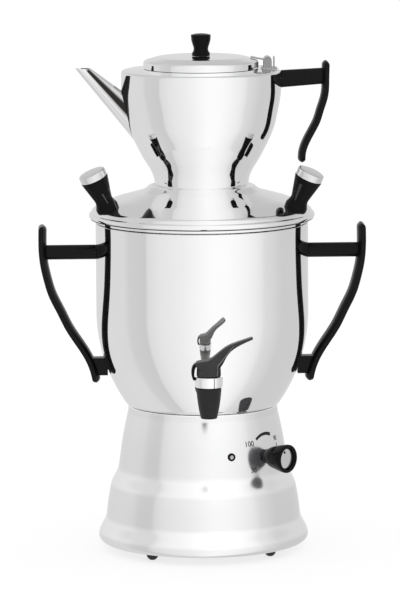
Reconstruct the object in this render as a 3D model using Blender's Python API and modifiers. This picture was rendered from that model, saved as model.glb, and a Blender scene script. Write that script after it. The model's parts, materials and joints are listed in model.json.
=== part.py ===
# Samovar: a heated base, a steel vessel with a tap, and a teapot that stands on its lid.
# Metres, +Z up, the tap to -Y. The floor is at zero height.
import math

import bmesh
import bpy
from mathutils import Matrix, Vector

# Gaps and shared sizes
SEAT_GAP = 0.0003
TURN_GAP = 0.0006
CUT_OVERRUN = 0.004
SHEET = 0.001
ROUND_STEPS = 32
SMALL_STEPS = 16
TINY_STEPS = 10
HOLE_STEPS = 8
HEX_STEPS = 6
MERGE = 0.00001
SMOOTH_ANGLE = math.radians(40)

# Base: three tiers of spun sheet, a flange on top and a rolled edge below
BASE_FLANGE_Z = 0.1284
BASE_FLANGE_IN_R = 0.056
BASE_EDGE_ROUND = 0.0012
BASE_TOP_R = 0.0656
BASE_STEP_1_TOP_Z = 0.0739
BASE_STEP_1_LOW_Z = 0.0559
BASE_STEP_1_OUT = 0.0074
BASE_TIER_2_OUT = 0.0036
BASE_STEP_2_TOP_Z = 0.0307
BASE_STEP_2_OUT = 0.0066
BASE_R = 0.092
BASE_ROLL_R = 0.0055
BASE_LIP_Z = 0.007
BASE_LIP_WIDTH = 0.01
BASE_TIER_SHARES = [(0.5, 0.56)]
BASE_STEP_1_SHARES = [(0.2, 0.23), (0.75, 0.80)]
BASE_STEP_2_SHARES = [(0.25, 0.34), (0.6, 0.80)]
PLATE_THICK = 0.0012

# Feet pushed into the base plate
FOOT_R = 0.00525
FOOT_FLAT_CUT = 0.0005
FOOT_INSET = 0.0185
FOOT_TURN = math.radians(5.5)
FOOT_STEM_R = 0.002
FOOT_BARB_R = 0.0029
FOOT_BARB_H = 0.0022

# Vessel: straight wall above a bowl, open lip
VESSEL_R = 0.0933
VESSEL_LIP_R = 0.096
VESSEL_BRIM_Z = 0.291
VESSEL_LIP_ROUND = 0.0008
VESSEL_BOWL_Z = 0.212
VESSEL_BOWL_R = 0.143
VESSEL_BOWL_STEPS = 6
STUD_R = 0.002
STUD_LENGTH = 0.0075
STUD_INSET = 0.0058
STUD_TURN = math.radians(30)
NUT_H = 0.0032
NUT_R = 0.0042

# Heating element: a tube loop above the vessel's floor
ELEMENT_TUBE_R = 0.00325
ELEMENT_LOOP_R = 0.042
ELEMENT_RISE = 0.0125
ELEMENT_LEG_X = 0.011
ELEMENT_BEND_R = 0.008
ELEMENT_LEG_DROP = 0.015
ELEMENT_LOOP_STEPS = 14
ELEMENT_BEND_STEPS = 3
ELEMENT_NUT_R = 0.0072
ELEMENT_NUT_H = 0.004

# Side handles: a curved strip, a round arm above and a block below
HANDLE_TOP_Z = 0.288
HANDLE_TOP_R = 0.1396
HANDLE_LOW_Z = 0.1495
HANDLE_LOW_R = 0.0932
HANDLE_THICK = 0.0076
HANDLE_HALF_WIDTH = 0.0125
HANDLE_ARM_R = 0.00645
HANDLE_ARM_Z = 0.2642
HANDLE_BLOCK_Z = 0.1629
HANDLE_BLOCK_H = 0.0156
HANDLE_BLOCK_HALF_WIDTH = 0.0075
HANDLE_END_ROUND = 0.0022
HANDLE_PATH_SHARES = [
    (0.231, 0.020), (0.333, 0.084), (0.435, 0.177), (0.539, 0.328),
    (0.641, 0.477), (0.744, 0.674), (0.847, 0.860), (0.93, 0.955),
]
STRIP_SECTION_SHARES = [
    (1.0, 0.10), (0.88, 0.0), (-0.88, 0.0), (-1.0, 0.10),
    (-1.0, 0.5), (-0.6, 0.87), (0.0, 1.0), (0.6, 0.87), (1.0, 0.5),
]
STRIP_END_WIDTH_SHARE = 0.84
STRIP_END_THICK_SHARE = 0.55
BOLT_R = 0.002
BOLT_HEAD_R = 0.0038
BOLT_HEAD_H = 0.0022
BOLT_LENGTH = 0.014

# Vessel lid: a collar round the teapot's foot, a stepped slope and a rolled rim
LID_OPENING_R = 0.036
LID_RIM_R = 0.099
LID_COLLAR_R = 0.0440
LID_COLLAR_RISE = 0.0023
LID_COLLAR_TOP_WIDTH = 0.0018
LID_COLLAR_FOOT_R = 0.0512
LID_COLLAR_FOOT_DROP = 0.0021
LID_SEAT_RISE = 0.0293
LID_SLOPE_TOP_R = 0.0788
LID_SLOPE_TOP_DROP = 0.0098
LID_SLOPE_LOW_R = 0.096
LID_SLOPE_LOW_DROP = 0.0183
LID_RIM_H = 0.0052
LID_RIM_ROUND = 0.0022
LID_SKIRT_R = 0.0915
LID_SKIRT_H = 0.008

# Lid knobs: a waisted black body with a bright cap, leaning outward
KNOB_SPREAD = math.radians(67.25)
KNOB_TURN = math.radians(-2.25)
KNOB_SEAT_R = 0.0885
KNOB_FOOT_R = 0.0099
KNOB_FOOT_H = 0.003
KNOB_WAIST_R = 0.00785
KNOB_WAIST_Z = 0.0083
KNOB_TOP_R = 0.01235
KNOB_BODY_H = 0.0292
KNOB_CAP_R = 0.012
KNOB_CAP_H = 0.0066
KNOB_CAP_ROUND = 0.0016
KNOB_STUD_R = 0.0022
KNOB_STUD_DROP = 0.0055

# Teapot: round body, flat shoulder and a neck ring
POT_R = 0.07
POT_FOOT_R = 0.0409
POT_FOOT_H = 0.0027
POT_BODY_LOW_H = 0.0871
POT_SHOULDER_H = 0.1009
POT_SHOULDER_ROUND = 0.0026
POT_SHOULDER_RISE = 0.0039
POT_NECK_R = 0.0465
POT_NECK_FILLET = 0.0015
POT_NECK_H = 0.0026
POT_BODY_SHARES = [
    (0.25, 0.107), (0.416, 0.227), (0.583, 0.44), (0.75, 0.70), (0.833, 0.85), (0.917, 0.955),
]

# Spout: a cone cut level at its tip, over a strainer in the pot's wall
SPOUT_ROOT_TOP_H = 0.0858
SPOUT_ROOT_LOW_H = 0.0443
SPOUT_ROOT_LOW_R = 0.061
SPOUT_TIP_H = 0.1051
SPOUT_TIP_NEAR_R = 0.0963
SPOUT_TIP_FAR_R = 0.110
SPOUT_ROOT_HALF_WIDTH = 0.0145
SPOUT_TIP_HALF_WIDTH = 0.0049
SPOUT_WALL = 0.0009
SPOUT_SUNK_SHARE = -0.25
SPOUT_OVERRUN_SHARE = 0.1
SPOUT_SIDES = 20
STRAINER_HOLE_R = 0.0022
STRAINER_PITCH = 0.0085

# Teapot handle: a curved strip on one arm, free at its lower end
GRIP_TOP_H = 0.1102
GRIP_TOP_R = 0.1088
GRIP_LOW_H = 0.0218
GRIP_LOW_R = 0.0875
GRIP_THICK = 0.0066
GRIP_HALF_WIDTH = 0.0085
GRIP_ARM_WALL_H = 0.0947
GRIP_ARM_STRIP_H = 0.0971
GRIP_ARM_WALL_TALL = 0.0152
GRIP_ARM_STRIP_TALL = 0.0141
GRIP_ARM_HALF_WIDTH = 0.0055
GRIP_END_ROUND = 0.002
ARM_SECTION_SHARES = [
    (-1, -0.6), (-0.5, -1), (0.5, -1), (1, -0.6), (1, 0.6), (0.5, 1), (-0.5, 1), (-1, 0.6),
]
GRIP_PATH_SHARES = [
    (0.182, 0.02), (0.33, 0.06), (0.49, 0.26), (0.579, 0.376), (0.658, 0.535),
    (0.739, 0.718), (0.822, 0.883), (0.907, 0.986),
]

# Teapot lid: a shallow cap with a straight band and a knob
CAP_BAND_R = 0.0505
CAP_BAND_H = 0.0056
CAP_EDGE_ROUND = 0.0012
CAP_SLOPE_R = 0.0378
CAP_SLOPE_RISE = 0.0034
CAP_KNOB_FOOT_R = 0.0079
CAP_KNOB_FOOT_H = 0.0024
CAP_KNOB_WAIST_R = 0.0064
CAP_KNOB_WAIST_Z = 0.0052
CAP_KNOB_TOP_R = 0.0087
CAP_KNOB_SIDE_H = 0.0178
CAP_KNOB_H = 0.0198
CAP_KNOB_EDGE = 0.0016
CAP_SCREW_R = 0.0017
CAP_SCREW_HEAD_R = 0.0036
CAP_SCREW_HEAD_H = 0.0018
CAP_SCREW_REACH = 0.008

# Teapot hinge: a strap on the lid between two ears on the pot
HINGE_X = 0.0581
HINGE_RISE = 0.0066
HINGE_BARREL_R = 0.0035
HINGE_PIN_R = 0.0014
HINGE_PIN_HEAD_R = 0.0024
HINGE_PIN_HEAD_H = 0.001
HINGE_STRAP_HALF_WIDTH = 0.0045
HINGE_EAR_THICK = 0.0022
HINGE_SHEET = 0.0011
HINGE_PLATE_IN_X = 0.0525
HINGE_PLATE_OUT_X = 0.0665
HINGE_STOP_X = 0.0631
HINGE_STOP_RISE = 0.0031
HINGE_STRAP_END_X = 0.0435

# Tap: a cone nozzle, a bright ring, a rotating plug and a lever
TAP_REACH = 0.146
TAP_SHANK_Z = 0.1575
TAP_NOZZLE_Z = 0.1418
TAP_NOZZLE_R = 0.0063
TAP_BODY_TOP_R = 0.01085
TAP_BODY_TOP_Z = 0.1652
TAP_NECK_R = 0.009
TAP_NECK_H = 0.0078
TAP_RING_R = 0.01205
TAP_RING_H = 0.0105
TAP_RING_ROUND = 0.0009
TAP_CONE_SHARES = [(0.33, 0.42), (0.66, 0.76)]
TAP_BORE_R = 0.0046
TAP_CHAMBER_Z = 0.152
TAP_PLUG_R = 0.0065
TAP_PORT_R = 0.0036
TAP_PORT_TOP_RISE = 0.0045
TAP_SPINDLE_R = 0.0032
TAP_SPINDLE_H = 0.012
TAP_SHANK_R = 0.007
TAP_THREAD_R = 0.006
TAP_SHANK_BORE_R = 0.0042
TAP_SEAL_R = 0.0098
TAP_SEAL_OUT = 0.0044
TAP_SEAL_IN = 0.0005
TAP_NUT_H = 0.005
TAP_NUT_R = 0.0105
TAP_THREAD_SPARE = 0.002
LEVER_HUB_R = 0.0105
LEVER_HUB_H = 0.0128
LEVER_HUB_ROUND = 0.0018
LEVER_REACH = 0.0392
LEVER_RISE = 0.0344
LEVER_HALF_WIDTH = 0.0052
LEVER_TAIL_IN_R = 0.0126
LEVER_TAIL_OUT_R = 0.0146
LEVER_TAIL_DROP = 0.0035
LEVER_TURN = math.radians(90)
# Shares of the reach and of the rise above the ring, round the blade from the tail
LEVER_BLADE_SHARES = [
    (0.06, 0.44), (0.17, 0.50), (0.32, 0.69), (0.47, 0.81), (0.64, 0.88), (1.0, 1.0),
    (1.0, 0.935), (0.70, 0.81), (0.55, 0.67), (0.36, 0.43), (0.27, 0.24), (0.25, 0.03),
]
LEVER_TAIL_SHARES = [(0.30, 0.24), (0.30, 0.37)]

# Thermostat: body inside the base, shaft, knob and a bright disc in the knob's face
DIAL_TURN = math.radians(47)
DIAL_Z = 0.091
DIAL_ROOT_R = 0.0066
DIAL_RIM_R = 0.0126
DIAL_LENGTH = 0.0245
DIAL_RIM_H = 0.003
DIAL_RECESS_R = 0.0096
DIAL_RECESS = 0.004
DIAL_DISC_R = 0.0091
DIAL_DISC_H = 0.0008
DIAL_SHAFT_R = 0.003
DIAL_SHAFT_OUT = 0.014
DIAL_SHAFT_IN = 0.008
DIAL_BODY_R = 0.0145
DIAL_BODY_LENGTH = 0.019
DIAL_COLLAR_R = 0.0075
DIAL_COLLAR_H = 0.004

# Lamp in the base's wall
LAMP_TURN = math.radians(18)
LAMP_Z = 0.092
LAMP_FLANGE_R = 0.0037
LAMP_FLANGE_H = 0.0013
LAMP_BARREL_R = 0.0029
LAMP_BORE_R = 0.0021
LAMP_LENS_R = 0.0018
LAMP_LENS_H = 0.0042
LAMP_BARREL_IN = 0.006
LAMP_BODY_R = 0.0036
LAMP_BODY_H = 0.013

# Cable gland at the back and the terminal block inside the base
GLAND_Z = 0.043
GLAND_FLANGE_R = 0.0085
GLAND_FLANGE_H = 0.003
GLAND_BARREL_R = 0.006
GLAND_BARREL_IN = 0.010
GLAND_BORE_R = 0.0036
TERMINAL_LENGTH = 0.036
TERMINAL_WIDTH = 0.018
TERMINAL_H = 0.015
TERMINAL_Y = 0.034
TERMINAL_SLOT_W = 0.0022
TERMINAL_SLOT_DEPTH = 0.005
TERMINAL_SLOTS = 3

# Radii and heights that follow from the sizes above
BASE_TIER_2_LOW_R = BASE_R - BASE_STEP_2_OUT
BASE_TIER_2_TOP_R = BASE_TIER_2_LOW_R - BASE_TIER_2_OUT
BASE_TIER_1_R = BASE_TIER_2_TOP_R - BASE_STEP_1_OUT
BASE_LIP_IN_R = BASE_R - BASE_LIP_WIDTH
FOOT_CIRCLE_R = BASE_R - FOOT_INSET
STUD_CIRCLE_R = BASE_TOP_R - STUD_INSET
VESSEL_FLOOR_Z = BASE_FLANGE_Z + SEAT_GAP
LID_SEAT_Z = VESSEL_BRIM_Z + LID_SEAT_RISE
POT_Z = LID_SEAT_Z + SEAT_GAP
POT_SHOULDER_Z = POT_Z + POT_SHOULDER_H
POT_NECK_Z = POT_SHOULDER_Z + POT_SHOULDER_RISE
HINGE_Z = POT_NECK_Z + HINGE_RISE
TAP_RING_Z = TAP_BODY_TOP_Z + SEAT_GAP
LEVER_Z = TAP_RING_Z + TAP_RING_H + SEAT_GAP
PLATE_Z = BASE_LIP_Z + SHEET + SEAT_GAP

# The object's own axis lies behind the middle of its footprint by this much
FRONT_REACH = TAP_REACH + TAP_RING_R
AXIS_Y = (FRONT_REACH - LID_RIM_R) / 2

POLISHED = ((0.78, 0.78, 0.79), 0.08, 1.0)
SATIN = ((0.66, 0.66, 0.67), 0.28, 1.0)
CHROME = ((0.86, 0.86, 0.87), 0.05, 1.0)
DARK_STEEL = ((0.42, 0.42, 0.43), 0.35, 1.0)
BLACK = ((0.012, 0.012, 0.013), 0.30, 0.0)
RUBBER = ((0.02, 0.02, 0.02), 0.75, 0.0)
LENS = ((0.45, 0.44, 0.43), 0.15, 0.0)
CERAMIC = ((0.80, 0.78, 0.72), 0.55, 0.0)


# Scene and objects

def clear_scene():
    for old in list(bpy.data.objects):
        bpy.data.objects.remove(old, do_unlink=True)


def new_collection(name):
    group = bpy.data.collections.new(name)
    bpy.context.scene.collection.children.link(group)
    return group


def new_axis():
    axis = bpy.data.objects.new("samovar_axis", None)
    axis.location = (0, AXIS_Y, 0)
    PARTS.objects.link(axis)
    return axis


def add(name, mesh, place=None, cutter=False):
    shape = bpy.data.objects.new(name, mesh)
    group = CUTTERS if cutter else PARTS
    group.objects.link(shape)
    shape.parent = AXIS
    shape.matrix_local = place or Matrix()
    if cutter:
        shape.hide_render = True
        shape.display_type = 'WIRE'
    return shape


def paint(shape, finish):
    colour, roughness, metallic = finish
    skin = bpy.data.materials.new(shape.name + "_finish")
    skin.use_nodes = True
    shader = skin.node_tree.nodes["Principled BSDF"]
    shader.inputs["Base Color"].default_value = (*colour, 1)
    shader.inputs["Roughness"].default_value = roughness
    shader.inputs["Metallic"].default_value = metallic
    shape.data.materials.clear()
    shape.data.materials.append(skin)
    shape.data.shade_smooth()
    shape.data.set_sharp_from_angle(angle=SMOOTH_ANGLE)
    return shape


def fresh_mesh(name, build):
    work = bmesh.new()
    build(work)
    mesh = bpy.data.meshes.new(name)
    work.to_mesh(mesh)
    work.free()
    return mesh


# A profile of (radius, height) points, given down the outer side, turned about Z

def turned(name, profile, steps, place=None, sheet=0.0, ring=False, cutter=False):
    def build(work):
        points = [work.verts.new((radius, 0, height)) for radius, height in profile]
        for first, second in zip(points, points[1:]):
            work.edges.new((first, second))
        if ring:
            work.edges.new((points[-1], points[0]))

    shape = add(name, fresh_mesh(name, build), place, cutter)
    screw = shape.modifiers.new("turn", 'SCREW')
    screw.steps = steps
    screw.render_steps = steps
    screw.use_merge_vertices = True
    screw.merge_threshold = MERGE
    if sheet:
        wall = shape.modifiers.new("sheet", 'SOLIDIFY')
        wall.thickness = sheet
        wall.offset = -1
        wall.use_even_offset = True
    return shape


def rod(name, radius, start, end, steps, place=None, cutter=False):
    profile = [(0, end), (radius, end), (radius, start), (0, start)]
    return turned(name, profile, steps, place, cutter=cutter)


def nut(name, outer, inner, height, place, bore_steps=HOLE_STEPS):
    body = rod(name, outer, 0, height, HEX_STEPS, place)
    bore = rod(name + "_bore", inner, -CUT_OVERRUN, height + CUT_OVERRUN, bore_steps, place, True)
    return cut(body, bore)


def block(name, low, high, place=None, cutter=False):
    size = Vector(high) - Vector(low)
    middle = (Vector(high) + Vector(low)) / 2

    def build(work):
        bmesh.ops.create_cube(work, size=1, matrix=Matrix.Translation(middle) @ Matrix.Diagonal((*size, 1)))

    return add(name, fresh_mesh(name, build), place, cutter)


# A skin over rings of equal point counts, with both ends closed

def loft(name, rings, place=None, cutter=False):
    def build(work):
        rows = [[work.verts.new(point) for point in ring] for ring in rings]
        count = len(rows[0])
        for row, following in zip(rows, rows[1:]):
            for i in range(count):
                j = (i + 1) % count
                work.faces.new((row[i], row[j], following[j], following[i]))
        work.faces.new(rows[0])
        work.faces.new(rows[-1])
        bmesh.ops.recalc_face_normals(work, faces=work.faces)

    return add(name, fresh_mesh(name, build), place, cutter)


# A curve object turned into a welded mesh, so that it can be cut and joined

def curve_mesh(name, curve, place=None, cutter=False):
    guide = bpy.data.objects.new(name + "_curve", curve)
    CUTTERS.objects.link(guide)
    graph = bpy.context.evaluated_depsgraph_get()
    mesh = bpy.data.meshes.new_from_object(guide.evaluated_get(graph))
    bpy.data.objects.remove(guide, do_unlink=True)
    work = bmesh.new()
    work.from_mesh(mesh)
    bmesh.ops.remove_doubles(work, verts=work.verts, dist=MERGE)
    bmesh.ops.recalc_face_normals(work, faces=work.faces)
    work.to_mesh(mesh)
    work.free()
    return add(name, mesh, place, cutter)


# A flat outline of (x, z) points with its thickness along Y

def slab(name, outline, half_width, place=None, cutter=False):
    curve = bpy.data.curves.new(name, 'CURVE')
    curve.dimensions = '2D'
    curve.fill_mode = 'BOTH'
    curve.extrude = half_width
    spline = curve.splines.new('POLY')
    spline.points.add(len(outline) - 1)
    for point, (x, z) in zip(spline.points, outline):
        point.co = (x, z, 0, 1)
    spline.use_cyclic_u = True
    upright = Matrix.Rotation(math.radians(90), 4, 'X')
    return curve_mesh(name, curve, (place or Matrix()) @ upright, cutter)


def tube(name, route, radius):
    curve = bpy.data.curves.new(name, 'CURVE')
    curve.dimensions = '3D'
    curve.bevel_depth = radius
    curve.bevel_resolution = 2
    curve.use_fill_caps = True
    spline = curve.splines.new('POLY')
    spline.points.add(len(route) - 1)
    for point, place in zip(spline.points, route):
        point.co = (*place, 1)
    return curve_mesh(name, curve)


def boolean(shape, tool, operation):
    step = shape.modifiers.new(tool.name, 'BOOLEAN')
    step.operation = operation
    step.object = tool
    return shape


def cut(shape, *tools):
    for tool in tools:
        boolean(shape, tool, 'DIFFERENCE')
    return shape


def join(shape, *tools):
    for tool in tools:
        boolean(shape, tool, 'UNION')
    return shape


def keep_within(shape, tool):
    return boolean(shape, tool, 'INTERSECT')


# Profiles

def run(start, end, shares):
    points = [start]
    for down, across in shares:
        radius = start[0] + (end[0] - start[0]) * across
        height = start[1] + (end[1] - start[1]) * down
        points.append((radius, height))
    points.append(end)
    return points


# Each point moved outward by the distance, square to the profile's two neighbouring runs

def offset(profile, distance):
    normals = []
    for (r0, z0), (r1, z1) in zip(profile, profile[1:]):
        length = math.hypot(r1 - r0, z1 - z0)
        normals.append(Vector(((z0 - z1) / length, (r1 - r0) / length)))
    moved = []
    for i, (radius, height) in enumerate(profile):
        before = normals[max(i - 1, 0)]
        after = normals[min(i, len(normals) - 1)]
        middle = (before + after).normalized()
        reach = distance / middle.dot(after)
        moved.append((radius + middle.x * reach, height + middle.y * reach))
    return moved


def filled(name, profile):
    closed = [(0, profile[0][1])] + profile
    if profile[-1][0] > 0:
        closed.append((0, profile[-1][1]))
    return turned(name, closed, ROUND_STEPS, cutter=True)


def radius_at(profile, height):
    for (r0, z0), (r1, z1) in zip(profile, profile[1:]):
        if z0 > z1 and z0 >= height >= z1:
            return r0 + (r1 - r0) * (z0 - height) / (z0 - z1)
    return profile[-1][0]


def height_at(profile, radius):
    for (r0, z0), (r1, z1) in zip(profile, profile[1:]):
        if r1 > r0 and r0 <= radius <= r1:
            return z0 + (z1 - z0) * (radius - r0) / (r1 - r0)
    return profile[0][1]


def base_profile():
    roll_r = BASE_R - BASE_ROLL_R
    roll_z = BASE_LIP_Z + BASE_ROLL_R
    points = [(BASE_FLANGE_IN_R, BASE_FLANGE_Z), (BASE_TOP_R - BASE_EDGE_ROUND, BASE_FLANGE_Z)]
    tier_top = (BASE_TOP_R, BASE_FLANGE_Z - BASE_EDGE_ROUND)
    step_1_top = (BASE_TIER_1_R, BASE_STEP_1_TOP_Z)
    step_1_low = (BASE_TIER_2_TOP_R, BASE_STEP_1_LOW_Z)
    step_2_top = (BASE_TIER_2_LOW_R, BASE_STEP_2_TOP_Z)
    points += run(tier_top, step_1_top, BASE_TIER_SHARES)
    points += run(step_1_top, step_1_low, BASE_STEP_1_SHARES)[1:]
    points += run(step_2_top, (BASE_R, roll_z), BASE_STEP_2_SHARES)
    for degrees in (45, 90):
        angle = math.radians(degrees)
        points.append((roll_r + BASE_ROLL_R * math.cos(angle), roll_z - BASE_ROLL_R * math.sin(angle)))
    points.append((BASE_LIP_IN_R, BASE_LIP_Z))
    return points


def vessel_profile():
    lip_z = VESSEL_BRIM_Z - SHEET
    points = [(VESSEL_LIP_R, lip_z), (VESSEL_R + VESSEL_LIP_ROUND, lip_z)]
    points.append((VESSEL_R, lip_z - VESSEL_LIP_ROUND))
    centre_r = VESSEL_R - VESSEL_BOWL_R
    end = math.asin((VESSEL_BOWL_Z - VESSEL_FLOOR_Z) / VESSEL_BOWL_R)
    for i in range(VESSEL_BOWL_STEPS + 1):
        angle = end * i / VESSEL_BOWL_STEPS
        radius = centre_r + VESSEL_BOWL_R * math.cos(angle)
        points.append((radius, VESSEL_BOWL_Z - VESSEL_BOWL_R * math.sin(angle)))
    points.append((0, VESSEL_FLOOR_Z))
    return points


def lid_profile():
    ledge_z = VESSEL_BRIM_Z + SEAT_GAP
    collar_top = LID_SEAT_Z + LID_COLLAR_RISE
    return [
        (LID_OPENING_R, LID_SEAT_Z),
        (LID_COLLAR_R - SHEET, LID_SEAT_Z),
        (LID_COLLAR_R, collar_top),
        (LID_COLLAR_R + LID_COLLAR_TOP_WIDTH, collar_top),
        (LID_COLLAR_FOOT_R, LID_SEAT_Z - LID_COLLAR_FOOT_DROP),
        (LID_SLOPE_TOP_R, LID_SEAT_Z - LID_SLOPE_TOP_DROP),
        (LID_SLOPE_LOW_R, LID_SEAT_Z - LID_SLOPE_LOW_DROP),
        (LID_RIM_R - LID_RIM_ROUND / 4, ledge_z + LID_RIM_H),
        (LID_RIM_R, ledge_z + LID_RIM_H / 2),
        (LID_RIM_R - LID_RIM_ROUND / 3, ledge_z + LID_RIM_ROUND / 3),
        (LID_RIM_R - LID_RIM_ROUND, ledge_z),
        (LID_SKIRT_R + SHEET, ledge_z),
        (LID_SKIRT_R, ledge_z - SHEET),
        (LID_SKIRT_R, ledge_z - LID_SKIRT_H),
    ]


def pot_profile():
    body_top = (POT_R, POT_Z + POT_BODY_LOW_H)
    body_low = (POT_FOOT_R, POT_Z + POT_FOOT_H)
    points = [
        (POT_NECK_R, POT_NECK_Z + POT_NECK_H),
        (POT_NECK_R, POT_NECK_Z + POT_NECK_FILLET / 2),
        (POT_NECK_R + POT_NECK_FILLET, POT_NECK_Z),
        (POT_R - POT_SHOULDER_ROUND, POT_SHOULDER_Z + POT_SHOULDER_ROUND),
        (POT_R - POT_SHOULDER_ROUND / 4, POT_SHOULDER_Z + POT_SHOULDER_ROUND / 2),
        (POT_R, POT_SHOULDER_Z),
    ]
    points += run(body_top, body_low, POT_BODY_SHARES)
    points += [(POT_FOOT_R, POT_Z), (0, POT_Z)]
    return points


# The band stands just over the pot's shoulder
def cap_profile():
    band_low = height_at_shoulder(CAP_BAND_R) + SEAT_GAP
    band_top = band_low + CAP_BAND_H
    top = band_top + CAP_EDGE_ROUND + CAP_SLOPE_RISE
    return [
        (0, top),
        (CAP_SLOPE_R, top),
        (CAP_BAND_R - CAP_EDGE_ROUND, band_top + CAP_EDGE_ROUND),
        (CAP_BAND_R, band_top),
        (CAP_BAND_R, band_low),
    ]


def height_at_shoulder(radius):
    return height_at(pot_profile()[1:], radius)


# Places: azimuth from the front (-Y) toward +X, tilt from straight up toward the outside

def outward(azimuth, radius, height, tilt):
    turn = Matrix.Rotation(azimuth, 4, 'Z')
    lean = Matrix.Rotation(tilt, 4, 'X')
    return turn @ Matrix.Translation((0, -radius, height)) @ lean


def level(azimuth, radius, height):
    return outward(azimuth, radius, height, math.radians(90))


# A strip of one section along a path of (x, z) points, its flat face outward

def strip_rings(path, half_width, thick, side):
    rings = []
    last = len(path) - 1
    for i, (x, z) in enumerate(path):
        ahead = path[min(i + 1, last)]
        behind = path[max(i - 1, 0)]
        along = Vector((ahead[0] - behind[0], ahead[1] - behind[1])).normalized()
        out = Vector((-along.y, along.x))
        at_end = i in (0, last)
        width = half_width * (STRIP_END_WIDTH_SHARE if at_end else 1)
        depth = thick * (STRIP_END_THICK_SHARE if at_end else 1)
        ring = []
        for across, inward in STRIP_SECTION_SHARES:
            shift = depth / 2 - depth * inward
            ring.append(((x + out.x * shift) * side, width * across, z + out.y * shift))
        rings.append(ring)
    return rings


def strip_path(top, low, shares, end_round):
    path = run(top, low, shares)
    path.insert(1, (top[0], top[1] - end_round))
    path.insert(-1, (low[0], low[1] + end_round))
    return path


# Screw from inside a curved wall, out through a hole: the head clears the curve by its sag

def lean_at(profile, height):
    for (r0, z0), (r1, z1) in zip(profile, profile[1:]):
        if z0 > z1 and z0 >= height >= z1:
            return math.atan2(r0 - r1, z0 - z1)
    return 0.0


def wall_bolt(name, azimuth, profile, height):
    tilt = math.radians(90) + lean_at(profile, height)
    place = outward(azimuth, radius_at(profile, height), height, tilt)
    sag = 2 * BOLT_HEAD_R * math.tan(math.pi / ROUND_STEPS)
    head_top = -SHEET - SEAT_GAP - sag
    head_low = head_top - BOLT_HEAD_H
    outline = [(0, BOLT_LENGTH), (BOLT_R, BOLT_LENGTH), (BOLT_R, head_top)]
    outline += [(BOLT_HEAD_R, head_top), (BOLT_HEAD_R, head_low), (0, head_low)]
    paint(turned(name, outline, TINY_STEPS, place), DARK_STEEL)
    hole_end = BOLT_LENGTH + SEAT_GAP
    return rod(name + "_hole", BOLT_R + SEAT_GAP, head_low, hole_end, HOLE_STEPS, place, True)


# Base

def stud_place(i, height):
    return outward(STUD_TURN + math.radians(120) * i, STUD_CIRCLE_R, height, 0)


def foot_place(i):
    return outward(math.radians(45 + 90 * i) + FOOT_TURN, FOOT_CIRCLE_R, 0, 0)


def build_base():
    wall = base_profile()
    shell = turned("base_shell", wall, ROUND_STEPS, sheet=SHEET)
    for i in range(3):
        low = -SHEET - CUT_OVERRUN
        place = stud_place(i, BASE_FLANGE_Z)
        cut(shell, rod(f"stud_hole_{i}", STUD_R + SEAT_GAP, low, CUT_OVERRUN, HOLE_STEPS, place, True))
    dial = level(DIAL_TURN, 0, DIAL_Z)
    lamp = level(LAMP_TURN, 0, LAMP_Z)
    gland = level(math.radians(180), 0, GLAND_Z)
    inner = BASE_FLANGE_IN_R
    cut(shell, rod("dial_hole", DIAL_SHAFT_R + TURN_GAP, inner, BASE_R, TINY_STEPS, dial, True))
    cut(shell, rod("lamp_hole", LAMP_BARREL_R + SEAT_GAP, inner, BASE_R, TINY_STEPS, lamp, True))
    cut(shell, rod("gland_hole", GLAND_BARREL_R + SEAT_GAP, inner, BASE_R, TINY_STEPS, gland, True))
    paint(shell, SATIN)

    plate_r = BASE_R - BASE_ROLL_R - SHEET
    plate = rod("base_plate", plate_r, PLATE_Z, PLATE_Z + PLATE_THICK, ROUND_STEPS)
    hole_r = FOOT_STEM_R + SEAT_GAP
    for i in range(4):
        cut(plate, rod(f"foot_hole_{i}", hole_r, 0, FOOT_CIRCLE_R, HOLE_STEPS, foot_place(i), True))
    paint(plate, DARK_STEEL)


def build_feet():
    centre_z = FOOT_R - FOOT_FLAT_CUT
    pad_top = PLATE_Z - SEAT_GAP
    barb_low = PLATE_Z + PLATE_THICK + SEAT_GAP
    barb_top = barb_low + FOOT_BARB_H
    profile = [(0, barb_top), (FOOT_STEM_R, barb_top), (FOOT_BARB_R, barb_low), (FOOT_STEM_R, barb_low)]
    profile += [(FOOT_STEM_R, pad_top), (FOOT_R, pad_top), (FOOT_R, centre_z)]
    flat = math.asin(centre_z / FOOT_R)
    for share in (1 / 3, 2 / 3):
        angle = flat * share
        profile.append((FOOT_R * math.cos(angle), centre_z - FOOT_R * math.sin(angle)))
    profile += [(FOOT_R * math.cos(flat), 0), (0, 0)]
    for i in range(4):
        paint(turned(f"foot_{i + 1}", profile, TINY_STEPS, foot_place(i)), RUBBER)


# Vessel and what is fixed in its floor

def leg_points():
    height = VESSEL_FLOOR_Z + SHEET + ELEMENT_RISE
    start = math.asin(ELEMENT_LEG_X / ELEMENT_LOOP_R)
    points = [(start, VESSEL_FLOOR_Z - ELEMENT_LEG_DROP)]
    for i in range(ELEMENT_BEND_STEPS + 1):
        turn = math.radians(90) * i / ELEMENT_BEND_STEPS
        along = ELEMENT_BEND_R * (1 - math.cos(turn))
        points.append((start + along / ELEMENT_LOOP_R, height - ELEMENT_BEND_R * (1 - math.sin(turn))))
    return points


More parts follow.
